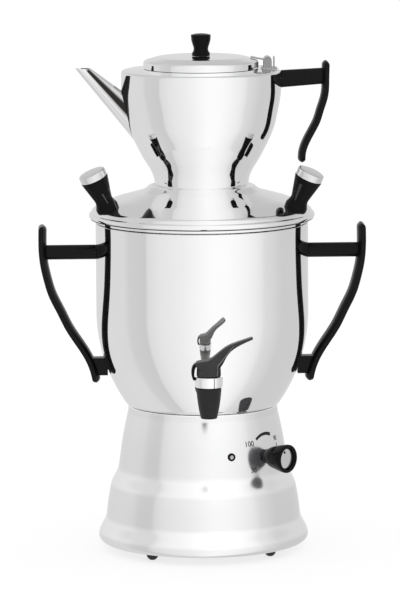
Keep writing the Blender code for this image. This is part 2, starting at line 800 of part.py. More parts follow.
def build_element():
    leg = leg_points()
    first, height = leg[-1]
    angles = [(first + (math.tau - 2 * first) * i / ELEMENT_LOOP_STEPS, height)
              for i in range(1, ELEMENT_LOOP_STEPS)]
    around = leg + angles + [(math.tau - angle, level_z) for angle, level_z in reversed(leg)]
    route = [(ELEMENT_LOOP_R * math.sin(a), ELEMENT_LOOP_R * math.cos(a), z) for a, z in around]
    element = tube("heating_element", route, ELEMENT_TUBE_R)
    floor_top = VESSEL_FLOOR_Z + SHEET + SEAT_GAP
    holes = []
    for i, side in enumerate((-1, 1)):
        place = outward(math.radians(180) + side * leg[0][0], ELEMENT_LOOP_R, 0, 0)
        boss_top = floor_top + ELEMENT_NUT_H / 2
        join(element, rod(f"element_boss_{i}", ELEMENT_NUT_R, floor_top, boss_top, TINY_STEPS, place, True))
        low = VESSEL_FLOOR_Z - CUT_OVERRUN
        hole_r = ELEMENT_TUBE_R + SEAT_GAP
        holes.append(rod(f"element_hole_{i}", hole_r, low, floor_top, TINY_STEPS, place, True))
        under = place @ Matrix.Translation((0, 0, VESSEL_FLOOR_Z - SEAT_GAP - ELEMENT_NUT_H))
        below = nut(f"element_nut_{i + 1}", ELEMENT_NUT_R, hole_r, ELEMENT_NUT_H, under)
        paint(below, DARK_STEEL)
    paint(element, DARK_STEEL)
    return holes


def build_vessel(holes):
    shell = turned("vessel_shell", vessel_profile(), ROUND_STEPS, sheet=SHEET)
    for i in range(3):
        stud_top = VESSEL_FLOOR_Z + SHEET / 2
        stud_low = VESSEL_FLOOR_Z - STUD_LENGTH
        join(shell, rod(f"stud_{i}", STUD_R, stud_low, stud_top, HOLE_STEPS, stud_place(i, 0), True))
        under = stud_place(i, BASE_FLANGE_Z - SHEET - SEAT_GAP - NUT_H)
        paint(nut(f"vessel_nut_{i + 1}", NUT_R, STUD_R + SEAT_GAP, NUT_H, under), DARK_STEEL)
    cut(shell, *holes)
    paint(shell, POLISHED)


def build_side_handle(word, side, outside):
    name = f"side_handle_{word}"
    turn = side * math.radians(90)
    wall = vessel_profile()
    path = strip_path((HANDLE_TOP_R, HANDLE_TOP_Z), (HANDLE_LOW_R, HANDLE_LOW_Z), HANDLE_PATH_SHARES,
                      HANDLE_END_ROUND)
    handle = loft(name, strip_rings(path, HANDLE_HALF_WIDTH, HANDLE_THICK, side))
    arm_place = level(turn, 0, HANDLE_ARM_Z)
    arm_start = VESSEL_R - CUT_OVERRUN
    arm_end = radius_at(path, HANDLE_ARM_Z)
    arm = rod(name + "_arm", HANDLE_ARM_R, arm_start, arm_end, SMALL_STEPS, arm_place, True)
    block_start = radius_at(wall, HANDLE_BLOCK_Z) - HANDLE_BLOCK_H / 2
    low = (-HANDLE_BLOCK_HALF_WIDTH, -HANDLE_BLOCK_H / 2, block_start)
    high = (HANDLE_BLOCK_HALF_WIDTH, HANDLE_BLOCK_H / 2, radius_at(path, HANDLE_BLOCK_Z))
    foot = block(name + "_block", low, high, level(turn, 0, HANDLE_BLOCK_Z), True)
    cut(join(handle, arm, foot), outside)
    holes = []
    for place, height in (("upper", HANDLE_ARM_Z), ("lower", HANDLE_BLOCK_Z)):
        holes.append(wall_bolt(f"handle_bolt_{place}_{word}", turn, wall, height))
    paint(cut(handle, *holes), BLACK)
    return holes


# Tap

def tap_place(height=0.0):
    return Matrix.Translation((0, -TAP_REACH, height))


# The flat outer ends of the two seals, clear of the curved wall above and below the shank
def seal_faces():
    wall = vessel_profile()
    outer = radius_at(wall, TAP_SHANK_Z + TAP_SEAL_R) + TAP_SEAL_OUT
    inner = radius_at(wall, TAP_SHANK_Z - TAP_SEAL_R) - SHEET - TAP_SEAL_IN
    return inner, outer


def build_tap(outside, inside):
    neck_top = TAP_BODY_TOP_Z + TAP_NECK_H
    cone = run((TAP_BODY_TOP_R, TAP_BODY_TOP_Z), (TAP_NOZZLE_R, TAP_NOZZLE_Z), TAP_CONE_SHARES)
    outline = [(0, neck_top), (TAP_NECK_R, neck_top), (TAP_NECK_R, TAP_BODY_TOP_Z)]
    outline += cone + [(0, TAP_NOZZLE_Z)]
    body = turned("tap_body", outline, SMALL_STEPS, tap_place())
    shank = level(0, 0, TAP_SHANK_Z)
    inner_face, outer_face = seal_faces()
    nut_low = inner_face - SEAT_GAP - TAP_NUT_H
    thread_low = nut_low - TAP_THREAD_SPARE
    shoulder = outer_face + SEAT_GAP
    shank_end = TAP_REACH - TAP_PORT_R / 2
    join(body, rod("tap_shank", TAP_SHANK_R, shoulder, shank_end, SMALL_STEPS, shank, True))
    join(body, rod("tap_thread", TAP_THREAD_R, thread_low, shoulder + CUT_OVERRUN, TINY_STEPS, shank, True))
    nozzle_low = TAP_NOZZLE_Z - CUT_OVERRUN
    bore_low = thread_low - CUT_OVERRUN
    bore_top = TAP_CHAMBER_Z + SHEET
    cut(body, rod("tap_nozzle_bore", TAP_BORE_R, nozzle_low, bore_top, TINY_STEPS, tap_place(), True))
    chamber_top = neck_top + CUT_OVERRUN
    chamber_r = TAP_PLUG_R + SEAT_GAP
    cut(body, rod("tap_chamber", chamber_r, TAP_CHAMBER_Z, chamber_top, SMALL_STEPS, tap_place(), True))
    cut(body, rod("tap_shank_bore", TAP_SHANK_BORE_R, bore_low, shank_end, HOLE_STEPS, shank, True))
    paint(body, BLACK)

    hole = rod("tap_hole", TAP_THREAD_R + SEAT_GAP, bore_low, TAP_REACH, TINY_STEPS, shank, True)
    # The seals are turned half a facet, which keeps their edges off the vessel's own edges
    seals = shank @ Matrix.Rotation(math.pi / SMALL_STEPS, 4, 'Z')
    gasket = rod("tap_gasket", TAP_SEAL_R, inner_face, outer_face, SMALL_STEPS, seals)
    paint(cut(gasket, outside, hole), RUBBER)
    seal = rod("tap_inner_seal", TAP_SEAL_R, inner_face, outer_face, SMALL_STEPS, seals)
    paint(cut(keep_within(seal, inside), hole), RUBBER)
    nut_place = level(0, nut_low, TAP_SHANK_Z)
    inner_nut = nut("tap_nut", TAP_NUT_R, TAP_THREAD_R + SEAT_GAP, TAP_NUT_H, nut_place, TINY_STEPS)
    paint(inner_nut, DARK_STEEL)

    ring_top = TAP_RING_Z + TAP_RING_H
    ceiling = neck_top + SEAT_GAP
    spindle_hole_r = TAP_SPINDLE_R + TURN_GAP
    ring = [
        (TAP_RING_R - TAP_RING_ROUND, ring_top),
        (TAP_RING_R, ring_top - TAP_RING_ROUND),
        (TAP_RING_R, TAP_RING_Z + TAP_RING_ROUND),
        (TAP_RING_R - TAP_RING_ROUND, TAP_RING_Z),
        (TAP_NECK_R + SEAT_GAP, TAP_RING_Z),
        (TAP_NECK_R + SEAT_GAP, ceiling),
        (spindle_hole_r, ceiling),
        (spindle_hole_r, ring_top),
    ]
    paint(turned("tap_ring", ring, SMALL_STEPS, tap_place(), ring=True), CHROME)
    return hole


def build_tap_valve():
    plug_low = TAP_CHAMBER_Z + SEAT_GAP
    plug_top = TAP_BODY_TOP_Z + TAP_NECK_H - SHEET
    spindle_top = plug_top + TAP_SPINDLE_H
    outline = [(0, spindle_top), (TAP_SPINDLE_R, spindle_top), (TAP_SPINDLE_R, plug_top)]
    outline += [(TAP_PLUG_R, plug_top), (TAP_PLUG_R, plug_low), (0, plug_low)]
    plug = turned("tap_plug", outline, SMALL_STEPS, tap_place())
    bore_top = TAP_SHANK_Z + TAP_PORT_TOP_RISE
    bore_low = plug_low - CUT_OVERRUN
    cut(plug, rod("plug_bore", TAP_PORT_R, bore_low, bore_top, TINY_STEPS, tap_place(), True))
    # Shut, the port looks a quarter turn away from the shank
    to_side = Matrix.Rotation(-LEVER_TURN, 4, 'Z') @ Matrix.Rotation(math.radians(90), 4, 'X')
    port_place = tap_place(TAP_SHANK_Z) @ to_side
    cut(plug, rod("plug_port", TAP_PORT_R, 0, TAP_PLUG_R + CUT_OVERRUN, TINY_STEPS, port_place, True))
    paint(plug, BLACK)

    hub_top = LEVER_Z + LEVER_HUB_H
    hub = [(0, hub_top), (LEVER_HUB_R - LEVER_HUB_ROUND, hub_top), (LEVER_HUB_R, hub_top - LEVER_HUB_ROUND)]
    hub += [(LEVER_HUB_R, LEVER_Z), (0, LEVER_Z)]
    lever = turned("tap_lever", hub, SMALL_STEPS, tap_place())
    blade = [(LEVER_REACH * across, LEVER_Z + LEVER_RISE * up) for across, up in LEVER_BLADE_SHARES]
    blade_low = blade[-1][1]
    tail = [
        (-LEVER_TAIL_IN_R, blade_low),
        (-LEVER_TAIL_IN_R, LEVER_Z - LEVER_TAIL_DROP),
        (-LEVER_TAIL_OUT_R, LEVER_Z - LEVER_TAIL_DROP / 2),
        (-LEVER_TAIL_OUT_R, LEVER_Z + LEVER_TAIL_DROP),
    ]
    tail += [(-LEVER_REACH * across, LEVER_Z + LEVER_RISE * up) for across, up in LEVER_TAIL_SHARES]
    join(lever, slab("lever_blade", blade + tail, LEVER_HALF_WIDTH, tap_place(), True))
    socket_low = LEVER_Z - CUT_OVERRUN
    socket_r = TAP_SPINDLE_R + SEAT_GAP
    socket_top = spindle_top + SEAT_GAP
    cut(lever, rod("lever_socket", socket_r, socket_low, socket_top, SMALL_STEPS, tap_place(), True))
    paint(lever, BLACK)


# Thermostat, lamp, cable gland and terminals

def build_thermostat(inside):
    wall = base_profile()
    wall_r = radius_at(wall, DIAL_Z)
    root = radius_at(wall, DIAL_Z - DIAL_ROOT_R) + TURN_GAP
    knob_place = level(DIAL_TURN, root, DIAL_Z)
    recess = DIAL_LENGTH - DIAL_RECESS
    outline = [
        (0, recess),
        (DIAL_RECESS_R, recess),
        (DIAL_RECESS_R, DIAL_LENGTH),
        (DIAL_RIM_R, DIAL_LENGTH),
        (DIAL_RIM_R, DIAL_LENGTH - DIAL_RIM_H),
        (DIAL_ROOT_R, DIAL_RIM_H),
        (DIAL_ROOT_R, 0),
        (0, 0),
    ]
    knob = turned("thermostat_knob", outline, SMALL_STEPS, knob_place)
    bore_top = DIAL_SHAFT_OUT + SEAT_GAP
    bore_r = DIAL_SHAFT_R + SEAT_GAP
    cut(knob, rod("knob_bore", bore_r, -CUT_OVERRUN, bore_top, TINY_STEPS, knob_place, True))
    paint(knob, BLACK)
    disc_low = recess + SEAT_GAP
    disc = rod("thermostat_disc", DIAL_DISC_R, disc_low, disc_low + DIAL_DISC_H, SMALL_STEPS, knob_place)
    paint(disc, CHROME)
    shaft_low = wall_r - SHEET - DIAL_SHAFT_IN - root
    shaft = rod("thermostat_shaft", DIAL_SHAFT_R, shaft_low, DIAL_SHAFT_OUT, TINY_STEPS, knob_place)
    paint(shaft, DARK_STEEL)

    axis = level(DIAL_TURN, 0, DIAL_Z)
    front = radius_at(wall, DIAL_Z + DIAL_BODY_R) - SHEET - DIAL_COLLAR_H
    body = rod("thermostat_body", DIAL_BODY_R, front - DIAL_BODY_LENGTH, front, SMALL_STEPS, axis)
    collar_low = front - DIAL_COLLAR_H
    join(body, rod("thermostat_collar", DIAL_COLLAR_R, collar_low, wall_r, SMALL_STEPS, axis, True))
    keep_within(body, inside)
    bore_low = root + shaft_low - SEAT_GAP
    cut(body, rod("thermostat_bore", DIAL_SHAFT_R + TURN_GAP, bore_low, wall_r, TINY_STEPS, axis, True))
    paint(body, CERAMIC)


def build_lamp(outside):
    place = level(LAMP_TURN, radius_at(base_profile(), LAMP_Z), LAMP_Z)
    bezel = rod("lamp_bezel", LAMP_FLANGE_R, -LAMP_FLANGE_H, LAMP_FLANGE_H, TINY_STEPS, place)
    cut(bezel, outside)
    barrel_top = LAMP_FLANGE_H / 2 + SEAT_GAP
    join(bezel, rod("lamp_barrel", LAMP_BARREL_R, -LAMP_BARREL_IN, barrel_top, TINY_STEPS, place, True))
    bore_low = -LAMP_BARREL_IN - CUT_OVERRUN
    cut(bezel, rod("lamp_bore", LAMP_BORE_R, bore_low, CUT_OVERRUN, TINY_STEPS, place, True))
    paint(bezel, BLACK)
    dome_low = LAMP_FLANGE_H
    dome_top = LAMP_FLANGE_H + LAMP_LENS_R / 2
    lens_low = LAMP_FLANGE_H - LAMP_LENS_H
    dome = [(0, dome_top), (LAMP_LENS_R * 0.6, (dome_low + 2 * dome_top) / 3), (LAMP_LENS_R, dome_low)]
    paint(turned("lamp_lens", dome + [(LAMP_LENS_R, lens_low), (0, lens_low)], TINY_STEPS, place), LENS)
    body_top = -LAMP_BARREL_IN - SEAT_GAP
    paint(rod("lamp_body", LAMP_BODY_R, body_top - LAMP_BODY_H, body_top, TINY_STEPS, place), CERAMIC)


def build_gland(outside, inside):
    place = level(math.radians(180), radius_at(base_profile(), GLAND_Z), GLAND_Z)
    gland = rod("cable_gland", GLAND_FLANGE_R, -GLAND_FLANGE_H, GLAND_FLANGE_H, TINY_STEPS, place)
    cut(gland, outside)
    barrel_top = GLAND_FLANGE_H * 2 / 3
    join(gland, rod("gland_barrel", GLAND_BARREL_R, -GLAND_BARREL_IN, barrel_top, TINY_STEPS, place, True))
    bore_low = -GLAND_BARREL_IN - CUT_OVERRUN
    bore_top = GLAND_FLANGE_H + CUT_OVERRUN
    cut(gland, rod("gland_bore", GLAND_BORE_R, bore_low, bore_top, TINY_STEPS, place, True))
    paint(gland, BLACK)
    ring = rod("gland_nut", GLAND_FLANGE_R, -SHEET - NUT_H, 0, HEX_STEPS, place)
    barrel_hole_r = GLAND_BARREL_R + SEAT_GAP
    hole = rod("gland_nut_bore", barrel_hole_r, bore_low, bore_top, TINY_STEPS, place, True)
    paint(cut(keep_within(ring, inside), hole), BLACK)


def build_terminals():
    low_z = PLATE_Z + PLATE_THICK + SEAT_GAP
    high_z = low_z + TERMINAL_H
    low = (-TERMINAL_LENGTH / 2, TERMINAL_Y - TERMINAL_WIDTH / 2, low_z)
    high = (TERMINAL_LENGTH / 2, TERMINAL_Y + TERMINAL_WIDTH / 2, high_z)
    terminals = block("terminal_block", low, high)
    pitch = TERMINAL_LENGTH / (TERMINAL_SLOTS + 1)
    for i in range(TERMINAL_SLOTS):
        middle = -TERMINAL_LENGTH / 2 + pitch * (i + 1)
        slot_low = (middle - TERMINAL_SLOT_W / 2, low[1] - CUT_OVERRUN, high_z - TERMINAL_SLOT_DEPTH)
        slot_high = (middle + TERMINAL_SLOT_W / 2, high[1] + CUT_OVERRUN, high_z + CUT_OVERRUN)
        cut(terminals, block(f"terminal_slot_{i}", slot_low, slot_high, cutter=True))
    paint(terminals, CERAMIC)


# Vessel lid and its knobs

def build_vessel_lid():
    outline = lid_profile()
    lid = turned("vessel_lid", outline, ROUND_STEPS, sheet=SHEET)
    top = filled("lid_outside", offset(outline, SEAT_GAP))
    height = height_at(outline, KNOB_SEAT_R)
    span = LID_SLOPE_LOW_R - LID_SLOPE_TOP_R
    lean = math.atan2(LID_SLOPE_LOW_DROP - LID_SLOPE_TOP_DROP, span)
    sunk = -KNOB_FOOT_H
    for word, side in (("left", -1), ("right", 1)):
        place = outward(KNOB_TURN + side * KNOB_SPREAD, KNOB_SEAT_R, height, lean)
        knob = [
            (0, KNOB_BODY_H),
            (KNOB_TOP_R, KNOB_BODY_H),
            (KNOB_WAIST_R, KNOB_WAIST_Z),
            (KNOB_FOOT_R, KNOB_FOOT_H),
            (KNOB_FOOT_R, sunk),
            (0, sunk),
        ]
        body = turned(f"lid_knob_{word}", knob, SMALL_STEPS, place)
        bore_r = KNOB_STUD_R + SEAT_GAP
        bore_top = KNOB_BODY_H + CUT_OVERRUN
        bore = rod(f"lid_knob_bore_{word}", bore_r, -CUT_OVERRUN, bore_top, TINY_STEPS, place, True)
        paint(cut(body, top, bore), BLACK)
        cut(lid, bore)
        cap_low = KNOB_BODY_H + SEAT_GAP
        cap_top = cap_low + KNOB_CAP_H
        cap = [
            (0, cap_top),
            (KNOB_CAP_R - KNOB_CAP_ROUND, cap_top),
            (KNOB_CAP_R, cap_top - KNOB_CAP_ROUND),
            (KNOB_CAP_R, cap_low),
            (KNOB_STUD_R, cap_low),
            (KNOB_STUD_R, -KNOB_STUD_DROP),
            (0, -KNOB_STUD_DROP),
        ]
        paint(turned(f"lid_knob_cap_{word}", cap, SMALL_STEPS, place), CHROME)
        sag = NUT_R * math.tan(math.pi / ROUND_STEPS)
        under = place @ Matrix.Translation((0, 0, -SHEET - SEAT_GAP - sag - NUT_H))
        paint(nut(f"lid_knob_nut_{word}", NUT_R, bore_r, NUT_H, under), DARK_STEEL)
    paint(lid, POLISHED)


# Teapot

def spout_rings(wall, start, end):
    low = (Vector((SPOUT_ROOT_LOW_R, SPOUT_ROOT_LOW_H)), Vector((SPOUT_TIP_FAR_R, SPOUT_TIP_H)))
    high = (Vector((POT_R, SPOUT_ROOT_TOP_H)), Vector((SPOUT_TIP_NEAR_R, SPOUT_TIP_H)))
    rings = []
    for share in (start, end):
        bottom = low[0] + (low[1] - low[0]) * share
        top = high[0] + (high[1] - high[0]) * share
        middle = (bottom + top) / 2
        half = (top - bottom) / 2
        half = half * (1 - wall / half.length)
        width = SPOUT_ROOT_HALF_WIDTH + (SPOUT_TIP_HALF_WIDTH - SPOUT_ROOT_HALF_WIDTH) * share - wall
        ring = []
        for i in range(SPOUT_SIDES):
            turn = math.tau * i / SPOUT_SIDES
            spot = middle + half * math.cos(turn)
            ring.append((-spot.x, width * math.sin(turn), POT_Z + spot.y))
        rings.append(ring)
    return rings


def build_spout(outside):
    spout = loft("teapot_spout", spout_rings(0, SPOUT_SUNK_SHARE, 1))
    start = SPOUT_SUNK_SHARE - SPOUT_OVERRUN_SHARE
    bore = loft("spout_bore", spout_rings(SPOUT_WALL, start, 1 + SPOUT_OVERRUN_SHARE), cutter=True)
    paint(cut(spout, bore, outside), POLISHED)


# Seven holes where the spout leaves the pot

def strainer_holes():
    middle_h = (SPOUT_ROOT_TOP_H + SPOUT_ROOT_LOW_H) / 2
    spots = [(0, 0)]
    for i in range(6):
        turn = math.tau * i / 6
        spots.append((STRAINER_PITCH * math.sin(turn), STRAINER_PITCH * math.cos(turn)))
    holes = []
    start = SPOUT_ROOT_LOW_R - SPOUT_ROOT_HALF_WIDTH
    end = SPOUT_TIP_NEAR_R
    for i, (across, up) in enumerate(spots):
        place = level(math.radians(-90), 0, POT_Z + middle_h + up) @ Matrix.Translation((across, 0, 0))
        holes.append(rod(f"strainer_hole_{i}", STRAINER_HOLE_R, start, end, HOLE_STEPS, place, True))
    return holes


def build_teapot_handle(outside):
    top = (GRIP_TOP_R, POT_Z + GRIP_TOP_H)
    low = (GRIP_LOW_R, POT_Z + GRIP_LOW_H)
    path = strip_path(top, low, GRIP_PATH_SHARES, GRIP_END_ROUND)
    handle = loft("teapot_handle", strip_rings(path, GRIP_HALF_WIDTH, GRIP_THICK, 1))
    ends = [
        (POT_R - CUT_OVERRUN, GRIP_ARM_WALL_H, GRIP_ARM_WALL_TALL),
        (radius_at(path, POT_Z + GRIP_ARM_STRIP_H), GRIP_ARM_STRIP_H, GRIP_ARM_STRIP_TALL),
    ]
    rings = []
    for x, height, tall in ends:
        ring = []
        for across, up in ARM_SECTION_SHARES:
            ring.append((x, GRIP_ARM_HALF_WIDTH * across, POT_Z + height + tall / 2 * up))
        rings.append(ring)
    join(handle, loft("teapot_handle_arm", rings, cutter=True))
    cut(handle, outside)
    bolt_z = POT_Z + GRIP_ARM_WALL_H
    hole = wall_bolt("teapot_handle_bolt", math.radians(90), pot_profile()[3:], bolt_z)
    paint(cut(handle, hole), BLACK)
    return hole


def build_hinge():
    ear_in = HINGE_STRAP_HALF_WIDTH + SEAT_GAP
    ear_out = ear_in + HINGE_EAR_THICK
    shoulder = offset(pot_profile()[1:], SEAT_GAP)
    in_z = height_at(shoulder, HINGE_PLATE_IN_X)
    out_z = height_at(shoulder, HINGE_PLATE_OUT_X)
    plate_outline = [
        (HINGE_PLATE_IN_X, in_z),
        (HINGE_PLATE_OUT_X, out_z),
        (HINGE_PLATE_OUT_X, out_z + HINGE_SHEET),
        (HINGE_PLATE_IN_X, in_z + HINGE_SHEET),
    ]
    bracket = slab("hinge_bracket", plate_outline, ear_out)
    ear_low = in_z + HINGE_SHEET / 2
    across = Matrix.Translation((HINGE_X, 0, HINGE_Z)) @ Matrix.Rotation(math.radians(90), 4, 'X')
    for i, side in enumerate((-1, 1)):
        near, far = sorted((side * ear_in, side * ear_out))
        low = (HINGE_X - HINGE_BARREL_R, near, ear_low)
        high = (HINGE_X + HINGE_BARREL_R, far, HINGE_Z)
        join(bracket, block(f"hinge_ear_{i}", low, high, cutter=True))
        join(bracket, rod(f"hinge_ear_round_{i}", HINGE_BARREL_R, near, far, TINY_STEPS, across, True))
    stop_low = (HINGE_STOP_X, -ear_in, height_at(shoulder, HINGE_STOP_X) + HINGE_SHEET / 2)
    stop_high = (HINGE_STOP_X + HINGE_SHEET, ear_in, HINGE_Z + HINGE_STOP_RISE)
    join(bracket, block("hinge_stop", stop_low, stop_high, cutter=True))
    pin_end = ear_out + SEAT_GAP
    bore_r = HINGE_PIN_R + SEAT_GAP
    bore = rod("hinge_bore", bore_r, -pin_end - CUT_OVERRUN, pin_end + CUT_OVERRUN, TINY_STEPS, across, True)
    paint(cut(bracket, bore), CHROME)
    head = pin_end + HINGE_PIN_HEAD_H
    pin = [(0, head), (HINGE_PIN_HEAD_R, head), (HINGE_PIN_HEAD_R, pin_end), (HINGE_PIN_R, pin_end)]
    pin += [(radius, -height) for radius, height in reversed(pin)]
    paint(turned("hinge_pin", pin, TINY_STEPS, across), CHROME)

    seat = offset(cap_profile(), SEAT_GAP)
    edge_x = CAP_BAND_R - CAP_EDGE_ROUND
    end_z = height_at(seat, HINGE_STRAP_END_X)
    edge_z = height_at(seat, edge_x) + SEAT_GAP
    strap_outline = [
        (HINGE_STRAP_END_X, end_z),
        (edge_x, edge_z),
        (HINGE_X, HINGE_Z - HINGE_SHEET / 2),
        (HINGE_X, HINGE_Z + HINGE_SHEET / 2),
        (edge_x, edge_z + HINGE_SHEET),
        (HINGE_STRAP_END_X, end_z + HINGE_SHEET),
    ]
    strap = slab("hinge_strap", strap_outline, HINGE_STRAP_HALF_WIDTH)
    width = HINGE_STRAP_HALF_WIDTH
    join(strap, rod("hinge_strap_round", HINGE_BARREL_R, -width, width, TINY_STEPS, across, True))
    paint(cut(strap, bore), CHROME)


def build_teapot_lid():
    outline = cap_profile()
    top = outline[0][1]
    lid = turned("teapot_lid", outline, ROUND_STEPS, sheet=SHEET)
    seat = Matrix.Translation((0, 0, top + SEAT_GAP))
    screw_hole_r = CAP_SCREW_R + SEAT_GAP
    hole_low = -SHEET - CUT_OVERRUN
    hole = rod("cap_screw_hole", screw_hole_r, hole_low, CAP_SCREW_REACH + SEAT_GAP, TINY_STEPS, seat, True)
    paint(cut(lid, hole), POLISHED)
    outline = [
        (0, CAP_KNOB_H),
        (CAP_KNOB_TOP_R - CAP_KNOB_EDGE, CAP_KNOB_H - CAP_KNOB_EDGE / 4),
        (CAP_KNOB_TOP_R, CAP_KNOB_SIDE_H),
        (CAP_KNOB_WAIST_R, CAP_KNOB_WAIST_Z),
        (CAP_KNOB_FOOT_R, CAP_KNOB_FOOT_H),
        (CAP_KNOB_FOOT_R, 0),
        (0, 0),
    ]
    paint(cut(turned("teapot_lid_knob", outline, SMALL_STEPS, seat), hole), BLACK)
    head_top = -SHEET - 2 * SEAT_GAP
    head_low = head_top - CAP_SCREW_HEAD_H
    screw = [(0, CAP_SCREW_REACH), (CAP_SCREW_R, CAP_SCREW_REACH), (CAP_SCREW_R, head_top)]
    screw += [(CAP_SCREW_HEAD_R, head_top), (CAP_SCREW_HEAD_R, head_low), (0, head_low)]
    paint(turned("teapot_lid_screw", screw, TINY_STEPS, seat), DARK_STEEL)


def build_teapot():
    outline = pot_profile()
    outside = filled("pot_outside", offset(outline, SEAT_GAP))
    pot = turned("teapot_body", outline, ROUND_STEPS, sheet=SHEET)
    build_spout(outside)
    bolt_hole = build_teapot_handle(outside)
    paint(cut(pot, *strainer_holes(), bolt_hole), POLISHED)
    build_hinge()
    build_teapot_lid()


clear_scene()
PARTS = new_collection("samovar")
CUTTERS = new_collection("cutters")
AXIS = new_axis()

vessel_wall = vessel_profile()[2:]
vessel_outside = filled("vessel_outside", offset(vessel_wall, SEAT_GAP))
vessel_inside = filled("vessel_inside", offset(vessel_wall, -SHEET - SEAT_GAP))
base_outside = filled("base_outside", offset(base_profile(), SEAT_GAP))
base_inside = filled("base_inside", offset(base_profile(), -SHEET - SEAT_GAP))

build_base()
build_feet()
build_thermostat(base_inside)
build_lamp(base_outside)
build_gland(base_outside, base_inside)
build_terminals()
vessel_holes = build_element()
vessel_holes += build_side_handle("left", -1, vessel_outside)
vessel_holes += build_side_handle("right", 1, vessel_outside)
vessel_holes.append(build_tap(vessel_outside, vessel_inside))
build_vessel(vessel_holes)
build_tap_valve()
build_vessel_lid()
build_teapot()
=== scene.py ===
# Samovar with its teapot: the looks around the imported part. Metres, +Z up, the tap to -Y.
import json
import math

import bmesh
import bpy
import numpy as np
from mathutils import Matrix, Vector


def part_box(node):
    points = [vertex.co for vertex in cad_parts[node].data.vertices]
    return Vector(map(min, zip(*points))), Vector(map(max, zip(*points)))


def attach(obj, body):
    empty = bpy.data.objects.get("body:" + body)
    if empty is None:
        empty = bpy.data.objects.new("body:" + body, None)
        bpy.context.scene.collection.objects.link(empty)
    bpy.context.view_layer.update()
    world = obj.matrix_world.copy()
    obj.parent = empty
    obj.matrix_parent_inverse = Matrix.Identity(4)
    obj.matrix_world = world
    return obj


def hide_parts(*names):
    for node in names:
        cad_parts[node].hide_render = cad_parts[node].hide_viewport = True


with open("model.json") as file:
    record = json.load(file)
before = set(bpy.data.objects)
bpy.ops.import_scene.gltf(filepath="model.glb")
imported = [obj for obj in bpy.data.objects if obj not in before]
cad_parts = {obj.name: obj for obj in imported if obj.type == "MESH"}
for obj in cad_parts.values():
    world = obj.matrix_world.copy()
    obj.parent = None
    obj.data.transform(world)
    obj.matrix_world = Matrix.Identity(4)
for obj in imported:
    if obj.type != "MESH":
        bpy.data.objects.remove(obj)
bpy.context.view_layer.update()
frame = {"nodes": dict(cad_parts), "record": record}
nodes = frame["nodes"]
mm = 0.001
lidLow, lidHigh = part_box("vessel_lid")
axisY = (lidLow.y + lidHigh.y) / 2  # the samovar's own axis stands behind the middle
print("frame loaded,", len(nodes), "nodes, axis at y", round(axisY, 5))


# Curves and surfaces

def smooth(points, count):
    # natural cubic spline through the points, the parameter being the length along them
    p = np.array(points, float)
    t = np.concatenate([[0], np.cumsum(np.hypot(*np.diff(p, axis=0).T))])
    n, h = len(p), np.diff(t)
    a = np.eye(n)
    b = np.zeros_like(p)
    for i in range(1, n - 1):
        a[i, i - 1:i + 2] = h[i - 1], 2 * (h[i - 1] + h[i]), h[i]
        b[i] = 6 * ((p[i + 1] - p[i]) / h[i] - (p[i] - p[i - 1]) / h[i - 1])
    m = np.linalg.solve(a, b)
    s = np.linspace(0, t[-1], count)
    k = np.clip(np.searchsorted(t, s, side="right") - 1, 0, n - 2)
    u, w, hk = (s - t[k])[:, None], (t[k + 1] - s)[:, None], h[k][:, None]
    curve = (m[k] * w ** 3 + m[k + 1] * u ** 3) / (6 * hk)
    return curve + (p[k] / hk - m[k] * hk / 6) * w + (p[k + 1] / hk - m[k + 1] * hk / 6) * u


def rounded(corners, steps=5):
    # straight runs whose corners (r, z, radius) are turned by quarter-like parabolas of that reach
    rows = [np.array(corners[0][:2], float)]
    for i in range(1, len(corners) - 1):
        here = np.array(corners[i][:2], float)
        reach = corners[i][2] if len(corners[i]) > 2 else 0
        if reach <= 0:
            rows.append(here)
            continue
        before = np.array(corners[i - 1][:2], float) - here
        after = np.array(corners[i + 1][:2], float) - here
        start = here + before / np.linalg.norm(before) * min(reach, np.linalg.norm(before) / 2)
        end = here + after / np.linalg.norm(after) * min(reach, np.linalg.norm(after) / 2)
        for u in np.linspace(0, 1, steps):
            rows.append(start * (1 - u) ** 2 + 2 * here * u * (1 - u) + end * u ** 2)
    rows.append(np.array(corners[-1][:2], float))
    return np.array(rows)


def walled(outer, thick, minRadius=0.0):
    # the outer profile and its copy moved inward, square to it, by the thickness
    step = np.gradient(outer, axis=0)
    length = np.maximum(np.linalg.norm(step, axis=1), 1e-9)
    inner = outer + np.stack([step[:, 1], -step[:, 0]], 1) / length[:, None] * thick
    inner[:, 0] = np.maximum(inner[:, 0], minRadius)
    return np.vstack([outer, inner[::-1]])


def gridFaces(rows, columns, closedRows=False):
    # quads of a grid whose columns close on themselves
    i = np.arange(rows if closedRows else rows - 1)[:, None]
    j = np.arange(columns)[None, :]
    up, side = (i + 1) % rows, (j + 1) % columns
    quads = np.stack([i * columns + j, i * columns + side, up * columns + side, up * columns + j], -1)
    return quads.reshape(-1, 4).tolist()


def makePiece(name, points, faces, body, slot, material, replaced=(), sharp=38, place=None):
    mesh = bpy.data.meshes.new(name)
    mesh.from_pydata(np.asarray(points, float).reshape(-1, 3).tolist(), [], faces)
    work = bmesh.new()
    work.from_mesh(mesh)
    bmesh.ops.remove_doubles(work, verts=work.verts, dist=2e-6)
    bmesh.ops.recalc_face_normals(work, faces=work.faces)
    work.to_mesh(mesh)
    work.free()
    if place is not None:
        mesh.transform(place)
    mesh.transform(Matrix.Translation((0, axisY, 0)))
    mesh.shade_smooth()
    mesh.set_sharp_from_angle(angle=math.radians(sharp))
    piece = bpy.data.objects.new(name, mesh)
    bpy.context.scene.collection.objects.link(piece)
    mesh.materials.append(material)
    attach(piece, body)
    if replaced:
        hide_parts(*replaced)
    return piece


